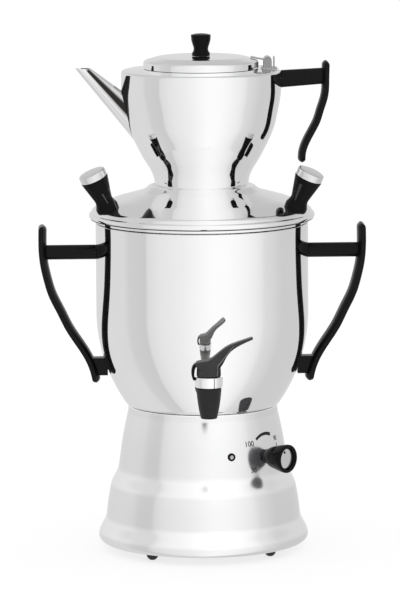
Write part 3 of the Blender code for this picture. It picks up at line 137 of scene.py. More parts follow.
def latheArrays(profile, steps, ring=False):
    # (r, z) carried round Z: x = r sin a, y = -r cos a, and z stays
    profile = np.asarray(profile, float)
    a = np.linspace(0, 2 * np.pi, steps, endpoint=False)
    r, z = profile[:, :1], profile[:, 1:2]
    points = np.stack([r * np.sin(a), -r * np.cos(a), z + 0 * a], -1).reshape(-1, 3)
    return points, gridFaces(len(profile), steps, ring)


def lathe(name, profile, body, slot, material, replaced=(), steps=160, ring=False, place=None, sharp=38):
    points, faces = latheArrays(profile, steps, ring)
    return makePiece(name, points, faces, body, slot, material, replaced, sharp, place)


def stacked(*parts):
    # several (points, faces) pairs in one
    points, faces, base = [], [], 0
    for p, f in parts:
        p = np.asarray(p, float).reshape(-1, 3)
        points.append(p)
        faces += [[k + base for k in face] for face in f]
        base += len(p)
    return np.vstack(points), faces


def closedGrid(rows, columns):
    # the same with a face over each end
    first, last = list(range(columns)), list(range((rows - 1) * columns, rows * columns))
    return gridFaces(rows, columns) + [first[::-1], last]


def squareRound(count, power):
    # superellipse: |u|^p + |v|^p = 1
    a = np.linspace(0, 2 * np.pi, count, endpoint=False) + np.pi / count
    c, s = np.cos(a), np.sin(a)
    return np.stack([np.sign(c) * np.abs(c) ** (2 / power), np.sign(s) * np.abs(s) ** (2 / power)], 1)


def outward(azimuth, radius, height, tilt):
    # a place on the samovar: azimuth from -Y toward +X, tilt from upright toward the outside
    turn = Matrix.Rotation(math.radians(azimuth), 4, "Z")
    return turn @ Matrix.Translation((0, -radius, height)) @ Matrix.Rotation(math.radians(tilt), 4, "X")


def radiusAt(profile, height):
    # the outer radius of a profile given from the top down
    outer = profile[np.argsort(profile[:, 1])]
    return float(np.interp(height, outer[:, 1], outer[:, 0]))


# Effects that several finishes share

def newGroup(name, inputs, outputs):
    group = bpy.data.node_groups.new(name, "ShaderNodeTree")
    for label, kind, value in inputs:
        socket = group.interface.new_socket(label, in_out="INPUT", socket_type=kind)
        if value is not None:
            socket.default_value = value
    for label, kind in outputs:
        group.interface.new_socket(label, in_out="OUTPUT", socket_type=kind)
    return group, group.nodes.new("NodeGroupInput"), group.nodes.new("NodeGroupOutput")


def mathNode(tree, operation, first, second=None, third=None, clamp=False):
    node = tree.nodes.new("ShaderNodeMath")
    node.operation = operation
    node.use_clamp = clamp
    for i, value in enumerate((first, second, third)):
        if isinstance(value, (int, float)):
            node.inputs[i].default_value = value
        elif value is not None:
            tree.links.new(value, node.inputs[i])
    return node.outputs[0]


def noiseNode(tree, vector, scale, detail=3.0, roughness=0.55):
    node = tree.nodes.new("ShaderNodeTexNoise")
    for label, value in (("Scale", scale), ("Detail", detail), ("Roughness", roughness)):
        if isinstance(value, (int, float)):
            node.inputs[label].default_value = value
        else:
            tree.links.new(value, node.inputs[label])
    tree.links.new(vector, node.inputs["Vector"])
    return node.outputs["Fac"]


def stretched(tree, vector, factors):
    node = tree.nodes.new("ShaderNodeMapping")
    node.vector_type = "POINT"
    node.inputs["Scale"].default_value = factors
    tree.links.new(vector, node.inputs["Vector"])
    return node.outputs["Vector"]


def makeSpunGrain():
    # fine rings left by spinning and brushing round the upright axis, with slow cloudiness
    group, start, end = newGroup(
        "spunGrain",
        [("Vector", "NodeSocketVector", None), ("Fineness", "NodeSocketFloat", 1.0)],
        [("Height", "NodeSocketFloat"), ("Cloud", "NodeSocketFloat")],
    )
    place, fineness = start.outputs["Vector"], start.outputs["Fineness"]
    fine = noiseNode(group, stretched(group, place, (30, 30, 5200)), fineness, 4)
    coarse = noiseNode(group, stretched(group, place, (14, 14, 1400)), fineness, 2)
    cloud = noiseNode(group, place, 26.0, 3)
    height = mathNode(group, "MULTIPLY_ADD", coarse, 0.6, fine)
    group.links.new(height, end.inputs["Height"])
    group.links.new(cloud, end.inputs["Cloud"])
    return group


def makeTouchMarks():
    # faint smudges and wipe marks that a polished sheet keeps
    group, start, end = newGroup(
        "touchMarks",
        [("Vector", "NodeSocketVector", None), ("Amount", "NodeSocketFloat", 0.02)],
        [("Haze", "NodeSocketFloat"), ("Wave", "NodeSocketFloat")],
    )
    smudge = noiseNode(group, stretched(group, start.outputs["Vector"], (1, 1, 0.55)), 42.0, 5, 0.62)
    lifted = mathNode(group, "SUBTRACT", smudge, 0.52, clamp=True)
    haze = mathNode(group, "MULTIPLY", lifted, start.outputs["Amount"])
    wave = noiseNode(group, start.outputs["Vector"], 17.0, 1)
    group.links.new(haze, end.inputs["Haze"])
    group.links.new(wave, end.inputs["Wave"])
    return group


def makeMouldGrain():
    # the fine skin of moulded phenolic plastic, and its slightly uneven shine
    group, start, end = newGroup(
        "mouldGrain",
        [("Vector", "NodeSocketVector", None), ("Scale", "NodeSocketFloat", 900.0)],
        [("Height", "NodeSocketFloat"), ("Shine", "NodeSocketFloat")],
    )
    fine = noiseNode(group, start.outputs["Vector"], start.outputs["Scale"], 3, 0.6)
    shine = noiseNode(group, start.outputs["Vector"], 120.0, 3)
    group.links.new(fine, end.inputs["Height"])
    group.links.new(shine, end.inputs["Shine"])
    return group


spunGrain, touchMarks, mouldGrain = makeSpunGrain(), makeTouchMarks(), makeMouldGrain()


def startFinish(name):
    material = bpy.data.materials.new(name)
    material.use_nodes = True
    tree = material.node_tree
    shader = tree.nodes["Principled BSDF"]
    place = tree.nodes.new("ShaderNodeTexCoord").outputs["Object"]
    return material, tree, shader, place


def placeGroup(tree, group, place, **values):
    node = tree.nodes.new("ShaderNodeGroup")
    node.node_tree = group
    tree.links.new(place, node.inputs["Vector"])
    for label, value in values.items():
        node.inputs[label].default_value = value
    return node


def addBump(tree, shader, height, strength, distance):
    bump = tree.nodes.new("ShaderNodeBump")
    bump.inputs["Strength"].default_value = strength
    bump.inputs["Distance"].default_value = distance
    tree.links.new(height, bump.inputs["Height"])
    tree.links.new(bump.outputs["Normal"], shader.inputs["Normal"])


def between(tree, amount, low, high):
    # a colour or number between two, by a mask
    node = tree.nodes.new("ShaderNodeMapRange") if isinstance(low, float) else tree.nodes.new("ShaderNodeMix")
    if isinstance(low, float):
        node.inputs["To Min"].default_value = low
        node.inputs["To Max"].default_value = high
        tree.links.new(amount, node.inputs["Value"])
        return node.outputs["Result"]
    node.data_type = "RGBA"
    node.inputs["A"].default_value = (*low, 1)
    node.inputs["B"].default_value = (*high, 1)
    tree.links.new(amount, node.inputs["Factor"])
    return node.outputs["Result"]


scratchDepth = 0.00004


def metalFinish(name, tint, rough, grain, marks, wave=0.0, brushed=0.0):
    material, tree, shader, place = startFinish(name)
    spun = placeGroup(tree, spunGrain, place)
    touched = placeGroup(tree, touchMarks, place, Amount=marks)
    dull = [c * 0.955 for c in tint]
    tree.links.new(between(tree, spun.outputs["Cloud"], dull, tint), shader.inputs["Base Color"])
    shader.inputs["Metallic"].default_value = 1.0
    even = between(tree, spun.outputs["Cloud"], rough * 0.88, rough * 1.12)
    tree.links.new(mathNode(tree, "ADD", even, touched.outputs["Haze"]), shader.inputs["Roughness"])
    height = mathNode(tree, "MULTIPLY_ADD", touched.outputs["Wave"], wave, spun.outputs["Height"])
    addBump(tree, shader, height, grain, scratchDepth)
    if brushed:
        # brushed round the upright axis: the shine spreads across the scratches, tangent = up x normal
        cross = tree.nodes.new("ShaderNodeVectorMath")
        cross.operation = "CROSS_PRODUCT"
        cross.inputs[0].default_value = (0, 0, 1)
        tree.links.new(tree.nodes.new("ShaderNodeNewGeometry").outputs["Normal"], cross.inputs[1])
        tree.links.new(cross.outputs[0], shader.inputs["Tangent"])
        shader.inputs["Anisotropic"].default_value = brushed
        shader.inputs["Anisotropic Rotation"].default_value = 0.25
    return material


def plasticFinish(name, tint, rough, grain, specular, scale=900.0):
    material, tree, shader, place = startFinish(name)
    mould = placeGroup(tree, mouldGrain, place, Scale=scale)
    worn = [c * 1.5 + 0.0015 for c in tint]
    tree.links.new(between(tree, mould.outputs["Shine"], list(tint), worn), shader.inputs["Base Color"])
    shine = between(tree, mould.outputs["Shine"], rough * 0.8, rough * 1.25)
    tree.links.new(shine, shader.inputs["Roughness"])
    shader.inputs["Specular IOR Level"].default_value = specular
    addBump(tree, shader, mould.outputs["Height"], grain, 0.00005)
    return material


def softStep(tree, value, low, high):
    node = tree.nodes.new("ShaderNodeMapRange")
    node.interpolation_type = "SMOOTHSTEP"
    node.inputs["From Min"].default_value = low
    node.inputs["From Max"].default_value = high
    tree.links.new(value, node.inputs["Value"])
    return node.outputs["Result"]


def overlay(material, share, tint):
    # lays one more colour over the base colour, by a share from 0 to 1
    tree = material.node_tree
    shader = next(n for n in tree.nodes if n.type == "BSDF_PRINCIPLED")
    mix = tree.nodes.new("ShaderNodeMix")
    mix.data_type = "RGBA"
    tree.links.new(share, mix.inputs[0])
    socket = shader.inputs["Base Color"]
    mix.inputs[6].default_value = socket.default_value
    if socket.links:
        tree.links.new(socket.links[0].from_socket, mix.inputs[6])
    mix.inputs[7].default_value = (*tint, 1)
    tree.links.new(mix.outputs[2], socket)


def paintReflectedTint(material, tint):
    # painted reflection: the colour a material is given only inside the mirror images of its neighbours
    path = material.node_tree.nodes.new("ShaderNodeLightPath")
    overlay(material, path.outputs["Is Glossy Ray"], tint)


def splitPlace(tree, label):
    # x, y and z of a texture coordinate
    split = tree.nodes.new("ShaderNodeSeparateXYZ")
    tree.links.new(tree.nodes.new("ShaderNodeTexCoord").outputs[label], split.inputs[0])
    return split.outputs


def paintedUnderShade(material, tint, edge):
    # painted shade: faces of the lever that point down or toward +X are painted black, with a painted
    # highlight line where that shade begins: share = the larger of -4 z - 1.2 and 5 x - 3.5 of the normal
    tree = material.node_tree
    x, y, z = splitPlace(tree, "Normal")
    down = mathNode(tree, "MULTIPLY_ADD", z, -4.0, -1.2)
    side = mathNode(tree, "MULTIPLY_ADD", x, 5.0, -3.5)
    share = mathNode(tree, "MAXIMUM", down, side)
    overlay(material, mathNode(tree, "MULTIPLY", share, 1.6, clamp=True), tint)
    # the painted highlight line, strongest where the share passes 0.25
    off = mathNode(tree, "ABSOLUTE", mathNode(tree, "SUBTRACT", share, 0.25))
    overlay(material, mathNode(tree, "MULTIPLY_ADD", off, -5.0, 1.0, clamp=True), edge)


def paintedTiltLight(material, low, high, tint):
    # painted light: surfaces that lean back take another colour for the light they face: share = (normal z -
    # low) / (high - low), eased
    tree = material.node_tree
    overlay(material, softStep(tree, splitPlace(tree, "Normal")[2], low, high), tint)


def turned(tree, x, z, byX, byZ):
    # x * byX + z * byZ
    return mathNode(tree, "ADD", mathNode(tree, "MULTIPLY", x, byX), mathNode(tree, "MULTIPLY", z, byZ))


def paintedStreak(material, start, end, widths, tint):
    # a painted band (shade, highlight or reflection, by its tint) along a line in the XZ plane, in mm, its
    # half width going from one to the other:
    # share = 2.2 (1 - distance / half width), cut off past the line's ends
    tree = material.node_tree
    x, y, z = splitPlace(tree, "Object")
    dx, dz = (end[0] - start[0]) * mm, (end[1] - start[1]) * mm
    size = math.hypot(dx, dz)
    x, z = mathNode(tree, "SUBTRACT", x, start[0] * mm), mathNode(tree, "SUBTRACT", z, start[1] * mm)
    along = turned(tree, x, z, dx / size ** 2, dz / size ** 2)
    away = turned(tree, x, z, -dz / size, dx / size)
    off = mathNode(tree, "ABSOLUTE", mathNode(tree, "SUBTRACT", along, 0.5))
    inside = mathNode(tree, "MULTIPLY_ADD", off, -16.0, 8.8, clamp=True)  # 1 between the ends, 0 past them
    width = mathNode(tree, "MULTIPLY_ADD", along, (widths[1] - widths[0]) * mm, widths[0] * mm)
    share = mathNode(tree, "DIVIDE", mathNode(tree, "ABSOLUTE", away), width)
    band = mathNode(tree, "MULTIPLY_ADD", share, -2.2, 2.2, clamp=True)
    overlay(material, mathNode(tree, "MULTIPLY", band, inside), tint)


polishedSteel = metalFinish("polishedSteel", (0.84, 0.84, 0.845), 0.035, 0.012, 0.10, wave=0.5)
satinSteel = metalFinish("satinSteel", (0.815, 0.815, 0.82), 0.17, 0.012, 0.05, brushed=0.4)
hingeSteel = metalFinish("hingeSteel", (0.26, 0.26, 0.265), 0.12, 0.05, 0.1)
plainSteel = metalFinish("plainSteel", (0.50, 0.50, 0.51), 0.34, 0.15, 0.1)
brightChrome = metalFinish("brightChrome", (0.88, 0.88, 0.89), 0.05, 0.01, 0.15)
blackPlastic = plasticFinish("blackPlastic", (0.002, 0.002, 0.0022), 0.26, 0.06, 0.12)
glossPlastic = plasticFinish("glossPlastic", (0.0015, 0.0015, 0.0015), 0.12, 0.02, 0.09)
dialPlastic = plasticFinish("dialPlastic", (0.0015, 0.0015, 0.0015), 0.12, 0.02, 0.10)
tapPlastic = plasticFinish("tapPlastic", (0.014, 0.014, 0.0145), 0.42, 0.12, 0.16)
brushedCap = metalFinish("brushedCap", (0.70, 0.70, 0.71), 0.14, 0.10, 0.20)
printInk = plasticFinish("printInk", (0.006, 0.006, 0.006), 0.5, 0.1, 0.2)
blackRubber = plasticFinish("blackRubber", (0.012, 0.012, 0.012), 0.62, 0.4, 0.3, 1500.0)
greyLens = plasticFinish("greyLens", (0.42, 0.41, 0.40), 0.16, 0.03, 0.5)
paleCeramic = plasticFinish("paleCeramic", (0.74, 0.72, 0.66), 0.5, 0.3, 0.4, 1200.0)
leverPlastic = plasticFinish("leverPlastic", (0.030, 0.030, 0.031), 0.40, 0.12, 0.16)
spoutSteel = metalFinish("spoutSteel", (0.80, 0.80, 0.80), 0.05, 0.012, 0.10)
# the black of the painted shade on the lever
paintedShadeBlack = (0.0015, 0.0015, 0.0015)
# painted light: the base's steps that lean back are painted lighter
paintedTiltLight(satinSteel, 0.12, 0.42, (0.93, 0.93, 0.93))
# painted shade under the lever and its painted highlight line
paintedUnderShade(leverPlastic, paintedShadeBlack, (0.16, 0.16, 0.16))
# painted shade along the lever's hollow edge and its painted highlight line, two painted reflections on the
# spout, painted highlights on the knobs
for material, start, end, widths, tint in (
        (leverPlastic, (8.9, 175.5), (9.6, 186.0), (1.5, 2.1), paintedShadeBlack),
        (leverPlastic, (10.0, 185.0), (22.0, 201.6), (2.3, 0.9), paintedShadeBlack),
        (leverPlastic, (6.8, 177.5), (7.6, 186.6), (0.35, 0.4), (0.13, 0.13, 0.13)),
        (leverPlastic, (7.6, 186.2), (21.0, 202.6), (0.55, 0.3), (0.17, 0.17, 0.17)),
        (spoutSteel, (-58, 383), (-99, 424.5), (5.2, 1.6), (0.03, 0.028, 0.026)),
        (spoutSteel, (-62, 402), (-76, 410), (3.4, 0.8), (0.30, 0.28, 0.26)),
        (glossPlastic, (-81.5, 324.5), (-75.4, 308), (0.9, 0.5), (0.10, 0.10, 0.105)),
        (glossPlastic, (-87.5, 320), (-83.0, 312), (0.7, 0.4), (0.10, 0.10, 0.105)),
        (glossPlastic, (84.0, 328), (79.5, 314), (1.6, 0.8), (0.05, 0.05, 0.055))):
    paintedStreak(material, start, end, widths, tint)
# painted reflections: the lever, tap and dial plastics lighter in the steel's mirror images, the spout
# darker, the polished steel near white
paintReflectedTint(leverPlastic, (0.21, 0.21, 0.205))
paintReflectedTint(spoutSteel, (0.02, 0.02, 0.02))
paintReflectedTint(tapPlastic, (0.19, 0.19, 0.185))
paintReflectedTint(dialPlastic, (0.075, 0.075, 0.08))
paintReflectedTint(polishedSteel, (0.97, 0.97, 0.97))
slotFinish = {
    "polished_steel": polishedSteel, "satin_steel": satinSteel, "dark_steel": plainSteel,
    "chrome_trim": brightChrome, "black_plastic": blackPlastic, "rubber": blackRubber,
    "lamp_lens": greyLens, "ceramic": paleCeramic,
}
ownFinish = {"hinge_bracket": hingeSteel, "hinge_pin": hingeSteel, "hinge_strap": hingeSteel,
             "teapot_spout": spoutSteel}
for row in frame["record"]["subparts"]:
    node = nodes.get(row["node"])
    if node is not None:
        for held in node.material_slots:
            held.material = ownFinish.get(row["node"], slotFinish[row["material_slot"]])
print("finishes made")


# Vessel and its lid

vesselShape = dict(radius=93.3, lipRadius=92.4, brimZ=291.0, bowlZ=212.0, bowlRadius=143.0, floorZ=128.7,
                   wall=1.0)
lidShape = dict(opening=36.0, seatZ=320.3, collar=44.0, collarRise=2.3, collarFoot=51.2, slopeTop=78.8,
                slopeTopZ=310.5, slopeLow=95.5, slopeLowZ=302.8, rim=99.0, ledgeZ=291.3, beadZ=294.5,
                lip=93.45, skirt=91.5)


def vesselProfile(s):
    # straight wall, then a bowl: r = radius - bowl + bowl * cos a, z = bowlZ - bowl * sin a
    top = s["brimZ"] - s["wall"]
    lip = rounded([(s["lipRadius"], top), (s["radius"], top, 0.3), (s["radius"], top - 8)], 6)
    wall = np.stack([np.full(12, s["radius"]), np.linspace(top - 9, s["bowlZ"] + 1, 12)], 1)
    end = math.asin((s["bowlZ"] - s["floorZ"] - 2.2) / s["bowlRadius"])
    a = np.linspace(0, end, 48)
    bowl = np.stack([s["radius"] + s["bowlRadius"] * (np.cos(a) - 1),
                     s["bowlZ"] - s["bowlRadius"] * np.sin(a)], 1)
    end = bowl[-1, 0]
    turnIn = rounded([bowl[-1], (end - 2.0, s["floorZ"], 2.6), (end - 12, s["floorZ"])], 7)[1:]
    return np.vstack([lip, wall, bowl, turnIn, [[0, s["floorZ"]]]]) * mm


def lidProfile(s):
    # collar, dome, slope, a groove, the rim's bead with a gap under it, and the skirt inside the vessel
    low, z, rim, bead = s["ledgeZ"], s["seatZ"], s["rim"], s["beadZ"]
    corners = [
        (s["opening"], z), (s["collar"] - 1.2, z, 1.0), (s["collar"], z + s["collarRise"], 0.8),
        (s["collar"] + 2.2, z + s["collarRise"], 1.4), (s["collarFoot"], z - 2.1, 3.4),
        (s["slopeTop"], s["slopeTopZ"], 5.0), (s["slopeLow"], s["slopeLowZ"], 2.2),
        (rim - 1.7, bead + 4.7, 1.0), (rim - 0.8, bead + 4.3, 0.6),
        (rim, bead + 3.2, 1.0), (rim, bead + 0.9, 0.8), (rim - 0.8, bead, 0.5),
        (rim - 5.6, bead - 0.1, 0.3), (rim - 5.6, bead - 1.2, 0.3),
        (s["lip"], bead - 1.5, 0.4), (s["lip"], low - 0.15, 0.1), (s["lip"] - 0.4, low - 0.2, 0.1),
        (s["skirt"] + 0.4, low, 0.8), (s["skirt"], low - 1.2, 0.6), (s["skirt"], low - 8.0),
    ]
    return rounded(corners, 8) * mm


vesselWall = vesselProfile(vesselShape)
lidSkin = lidProfile(lidShape)
lathe("vesselWall", walled(vesselWall, vesselShape["wall"] * mm), "samovar", "polished_steel", polishedSteel,
      ["vessel_shell"], steps=256)
lathe("vesselLid", walled(lidSkin, 1.0 * mm, 35 * mm), "lid", "polished_steel", polishedSteel,
      ["vessel_lid"], steps=256, ring=True)
rim, bead = lidShape["rim"], lidShape["beadZ"]
# painted shadow: a thin black ring under the rim's bead stands for the dark gap between lid and vessel
rimShadowBand = [(rim - 5.0, bead - 0.05), (rim - 0.9, bead - 0.05), (rim - 1.2, bead - 0.75), (rim - 5.0, bead - 0.8)]
lathe("rimShadowRing", rounded(rimShadowBand, 2) * mm, "lid", "rubber", blackRubber, steps=256, ring=True)
print("vessel and lid made")


# Teapot: body, lid and spout

potShape = dict(radius=70.0, footRadius=40.9, z=320.6, footTall=2.7, bodyTall=87.1, shoulder=100.9, rise=3.9,
                neck=46.5, neckTall=2.6, wall=1.0)
potBody = [(0, 0), (0.25, 0.107), (0.416, 0.227), (0.583, 0.44), (0.75, 0.70), (0.833, 0.85), (0.917, 0.955),
           (1, 1)]
capShape = dict(band=50.5, bandTall=5.6, slope=37.8, rise=3.4, edge=1.2)


def potProfile(s):
    # neck ring, shoulder, then one smooth curve through the body's stations down to the foot ring
    z, r = s["z"], s["radius"]
    shoulderZ = z + s["shoulder"]
    neckZ = shoulderZ + s["rise"]
    top = rounded([(s["neck"], neckZ + s["neckTall"]), (s["neck"], neckZ + 0.1, 1.4),
                   (r - 1.3, shoulderZ + 2.1, 1.3), (r, shoulderZ + 0.5, 1.0), (r, z + s["bodyTall"] + 4)], 8)
    high, low = z + s["bodyTall"], z + s["footTall"]
    stations = [(r + (s["footRadius"] - r) * across, high + (low - high) * down) for down, across in potBody]
    body = smooth([(r, high + 3)] + stations, 90)
    foot = rounded([body[-1], (s["footRadius"], z + 1.9), (s["footRadius"] + 0.1, z, 0.8),
                    (s["footRadius"] - 4, z)], 5)[1:]
    return np.vstack([top, body, foot, [[0, z]]]) * mm


potWall = potProfile(potShape)
lathe("teapotBody", walled(potWall, potShape["wall"] * mm), "teapot", "polished_steel", polishedSteel,
      ["teapot_body"], steps=224)


def shoulderAt(radius):
    # height of the pot's shoulder over a radius, in mm
    part = potWall[8:24]
    return float(np.interp(radius * mm, part[:, 0], part[:, 1])) / mm


def capProfile(s):
    low = shoulderAt(s["band"]) + 0.3
    top = low + s["bandTall"] + s["edge"] + s["rise"]
    slopeZ = low + s["bandTall"] + s["edge"]
    corners = [(0, top), (s["slope"], top, 4.0), (s["band"] - s["edge"], slopeZ, 1.2),
               (s["band"], low + s["bandTall"] - 0.4, 0.9), (s["band"], low)]
    return rounded(corners, 8) * mm, top


capSkin, capTop = capProfile(capShape)
lathe("teapotLid", walled(capSkin, 1.0 * mm), "teapot_cap", "polished_steel", polishedSteel, ["teapot_lid"],
      steps=200)
print("teapot body and lid made, lid top at", round(capTop, 2), "mm")


# Base

baseShape = dict(flangeZ=128.4, flangeIn=56.0, top=65.6, tier1=74.4, step1Z=73.9, step1LowZ=55.9,
                 tier2Top=81.8, tier2Low=85.4, step2Z=30.7, radius=92.5, roll=5.5, lipZ=7.0, lipIn=82.0,
                 wall=1.0)


def baseProfile(s):
    # three tiers joined by soft steps, rolled in at the floor
    rollZ = s["lipZ"] + s["roll"]
    top = rounded([(s["flangeIn"], s["flangeZ"]), (s["top"], s["flangeZ"], 1.4),
                   (s["top"] + 0.25, s["flangeZ"] - 5)], 6)
    middle = s["top"] + (s["tier1"] - s["top"]) * 0.56
    tier1 = smooth([top[-1], (middle, (s["flangeZ"] + s["step1Z"]) / 2), (s["tier1"], s["step1Z"] + 1)], 26)
    a = np.linspace(0, 1, 12)[:, None]
    ease = a * a * (3 - 2 * a)
    step1 = np.hstack([s["tier1"] + 0.2 + (s["tier2Top"] - s["tier1"] - 0.2) * (0.35 * a + 0.65 * ease),
                       s["step1Z"] + (s["step1LowZ"] - s["step1Z"]) * a])
    tier2 = smooth([step1[-1], (s["tier2Top"] + 2.3, 43.0), (s["tier2Low"], s["step2Z"] + 1)], 16)
    step2 = np.hstack([s["tier2Low"] + 0.1 + (s["radius"] - s["tier2Low"] - 0.1) * (0.3 * a + 0.7 * ease),
                       s["step2Z"] + (rollZ + 1 - s["step2Z"]) * a])
    b = np.linspace(0, np.pi / 2, 12)[:, None]
    rolled = np.hstack([s["radius"] - s["roll"] * (1 - np.cos(b)), rollZ - s["roll"] * np.sin(b)])
    return np.vstack([top[:-1], tier1, step1, tier2[1:], step2, rolled, [[s["lipIn"], s["lipZ"]]]]) * mm


baseWall = baseProfile(baseShape)
lathe("baseWall", walled(baseWall, baseShape["wall"] * mm, 55 * mm), "samovar", "satin_steel", satinSteel,
      ["base_shell"], steps=256, ring=True)
print("base made")


# Black fittings and their trims

knobShape = dict(seat=88.5, spread=67.25, turn=-2.25, foot=9.9, footTall=3.0, waist=7.85, waistZ=8.3,
                 top=12.35, bodyTall=29.2, cap=12.0, capTall=6.6, edge=1.6)


def knobProfile(s):
    # straight taper down to a short hollow waist, then the flared foot on the lid
    lower = smooth([(s["waist"] + 0.62, s["waistZ"] + 4.4), (s["waist"], s["waistZ"]),
                    (s["foot"] - 0.9, s["footTall"] + 1.7), (s["foot"], s["footTall"] - 0.4)], 18)
    side = rounded([(0, s["bodyTall"]), (s["top"], s["bodyTall"], 0.6), lower[0]], 5)
    return np.vstack([side, lower[1:], [(s["foot"] - 0.1, -0.6), (0, -0.6)]]) * mm


def knobCapProfile(s):
    low, high = s["bodyTall"] + 0.3, s["bodyTall"] + 0.3 + s["capTall"]
    return rounded([(0, high), (s["cap"] * 0.55, high - 0.12, 2.0), (s["cap"], high - 0.35, s["edge"]),
                    (s["cap"], low + 0.1, 0.3), (s["cap"] - 0.5, low), (0, low)], 7) * mm


def knobPlace(side, s):
    fall = (lidShape["slopeTopZ"] - lidShape["slopeLowZ"]) / (lidShape["slopeLow"] - lidShape["slopeTop"])
    height = lidShape["slopeTopZ"] - (s["seat"] - lidShape["slopeTop"]) * fall
    return outward(s["turn"] + side * s["spread"], s["seat"] * mm, height * mm, math.degrees(math.atan(fall)))


for side, word in ((-1, "left"), (1, "right")):
    place = knobPlace(side, knobShape)
    lathe(word + "Knob", knobProfile(knobShape), "lid", "black_plastic", glossPlastic, ["lid_knob_" + word],
          steps=72, place=place)
    lathe(word + "KnobCap", knobCapProfile(knobShape), "lid", "chrome_trim", brushedCap,
          ["lid_knob_cap_" + word], steps=72, place=place)


def roundedLoop(corners, steps=4):
    # the same turning of corners as rounded, on a closed outline
    ends = np.array([(np.array(corners[0][:2]) + np.array(corners[-1][:2])) / 2])
    loop = [(*ends[0], 0)] + list(corners) + [(*ends[0], 0)]
    return rounded(loop, steps)[:-1]


stripSection = roundedLoop([(1.0, 0.0, 0.07), (1.0, 0.5, 0.05), (0.62, 0.86, 0.1), (0.0, 1.0, 0.3),
                            (-0.62, 0.86, 0.1), (-1.0, 0.5, 0.05), (-1.0, 0.0, 0.07)])


def stripArrays(s, side):
    # the strip's middle line, with a flat outer face and a crowned inner face, both ends rounded off
    (topR, topZ), (lowR, lowZ) = s["top"], s["low"]
    stations = [(topR, topZ)]
    stations += [(topR + (lowR - topR) * across, topZ + (lowZ - topZ) * down) for down, across in s["path"]]
    line = smooth(stations + [(lowR, lowZ)], 120)
    along = np.gradient(line, axis=0)
    along /= np.linalg.norm(along, axis=1)[:, None]
    length = np.concatenate([[0], np.cumsum(np.linalg.norm(np.diff(line, axis=0), axis=1))])
    nearEnd = np.minimum(length, length[-1] - length) / s["endRound"]
    grow = np.sqrt(1 - np.clip(1 - nearEnd, 0, 0.94) ** 2)[:, None]
    u = stripSection[None, :, 0] * s["halfWidth"] * (0.55 + 0.45 * grow)
    v = (0.5 - stripSection[None, :, 1]) * s["thick"] * grow
    r = line[:, :1] - along[:, 1:] * v
    z = line[:, 1:] + along[:, :1] * v
    points = np.stack([side * r, u + 0 * r, z], -1) * mm
    return points.reshape(-1, 3), closedGrid(*points.shape[:2]), line


def barArrays(side, start, end, power):
    # a bar from the wall to the strip: sections (x, z, half width, half height) of a rounded square
    loop = squareRound(40, power)
    share = np.linspace(0, 1, 12)[:, None]
    row = np.array(start, float) * (1 - share) + np.array(end, float) * share
    points = np.stack([side * (row[:, :1] + 0 * loop[None, :, 0]), row[:, 2:3] * loop[None, :, 0],
                       row[:, 1:2] + row[:, 3:4] * loop[None, :, 1]], -1) * mm
    return points.reshape(-1, 3), closedGrid(*points.shape[:2])


handleShape = dict(top=(139.6, 288.0), low=(93.2, 149.5), thick=7.6, halfWidth=12.5, endRound=3.4, armR=6.45,
                   armZ=264.2, blockZ=162.9, blockHalf=7.8, blockWidth=7.5,
                   path=[(0.231, 0.020), (0.333, 0.084), (0.435, 0.177), (0.539, 0.328), (0.641, 0.477),
                         (0.744, 0.674), (0.847, 0.860), (0.93, 0.955)])
for side, word in ((-1, "left"), (1, "right")):
    s = handleShape
    points, faces, line = stripArrays(s, side)
    armEnd, blockEnd = (float(np.interp(-z, -line[:, 1], line[:, 0])) for z in (s["armZ"], s["blockZ"]))
    wallR, blockR = (radiusAt(vesselWall, z * mm) / mm
                     for z in (s["armZ"], s["blockZ"] - s["blockHalf"] * 0.4))
    section = (s["armZ"], s["armR"], s["armR"])
    arm = barArrays(side, (wallR + 0.05, *section), (armEnd, *section), 2)
    foot = barArrays(side, (blockR + 0.2, s["blockZ"], s["blockWidth"], s["blockHalf"]),
                     (blockEnd, s["blockZ"], s["blockWidth"], s["blockHalf"]), 9)
    makePiece(word + "Handle", *stacked((points, faces), arm, foot), "samovar", "black_plastic", blackPlastic,
              ["side_handle_" + word], sharp=32)

gripShape = dict(top=(108.8, 430.8), low=(87.5, 342.4), thick=6.6, halfWidth=10.2, endRound=3.2,
                 armStart=(70.05, 415.3, 5.5, 7.6), armZ=417.7, armWidth=5.5, armHalf=7.05,
                 path=[(0.182, 0.02), (0.33, 0.06), (0.49, 0.26), (0.579, 0.376), (0.658, 0.535),
                       (0.739, 0.718), (0.822, 0.883), (0.907, 0.986)])
points, faces, line = stripArrays(gripShape, 1)
s = gripShape
gripEnd = float(np.interp(-s["armZ"], -line[:, 1], line[:, 0]))
gripArm = barArrays(1, s["armStart"], (gripEnd, s["armZ"], s["armWidth"], s["armHalf"]), 3)
makePiece("teapotGrip", *stacked((points, faces), gripArm), "teapot", "black_plastic", blackPlastic,
          ["teapot_handle"], sharp=32)

capKnobShape = dict(foot=7.9, footTall=2.6, waist=6.4, waistZ=5.4, top=8.7, sideTall=17.8, tall=19.8)


def capKnobProfile(s):
    side = smooth([(s["top"], s["sideTall"]), (s["top"] - 0.35, 13.6), (s["waist"] + 0.55, 8.8),
                   (s["waist"], s["waistZ"]), (s["foot"] - 0.9, s["footTall"] + 1.0)], 22)
    crown = rounded([(0, s["tall"]), (s["top"] * 0.6, s["tall"] - 0.35, 2.0),
                     (s["top"], s["sideTall"] + 0.7, 0.5), tuple(side[0])], 6)
    foot = rounded([tuple(side[-1]), (s["foot"], s["footTall"], 0.4), (s["foot"], 0, 0.3), (0, 0)], 4)
    return np.vstack([crown[:-1], side, foot[1:]]) * mm


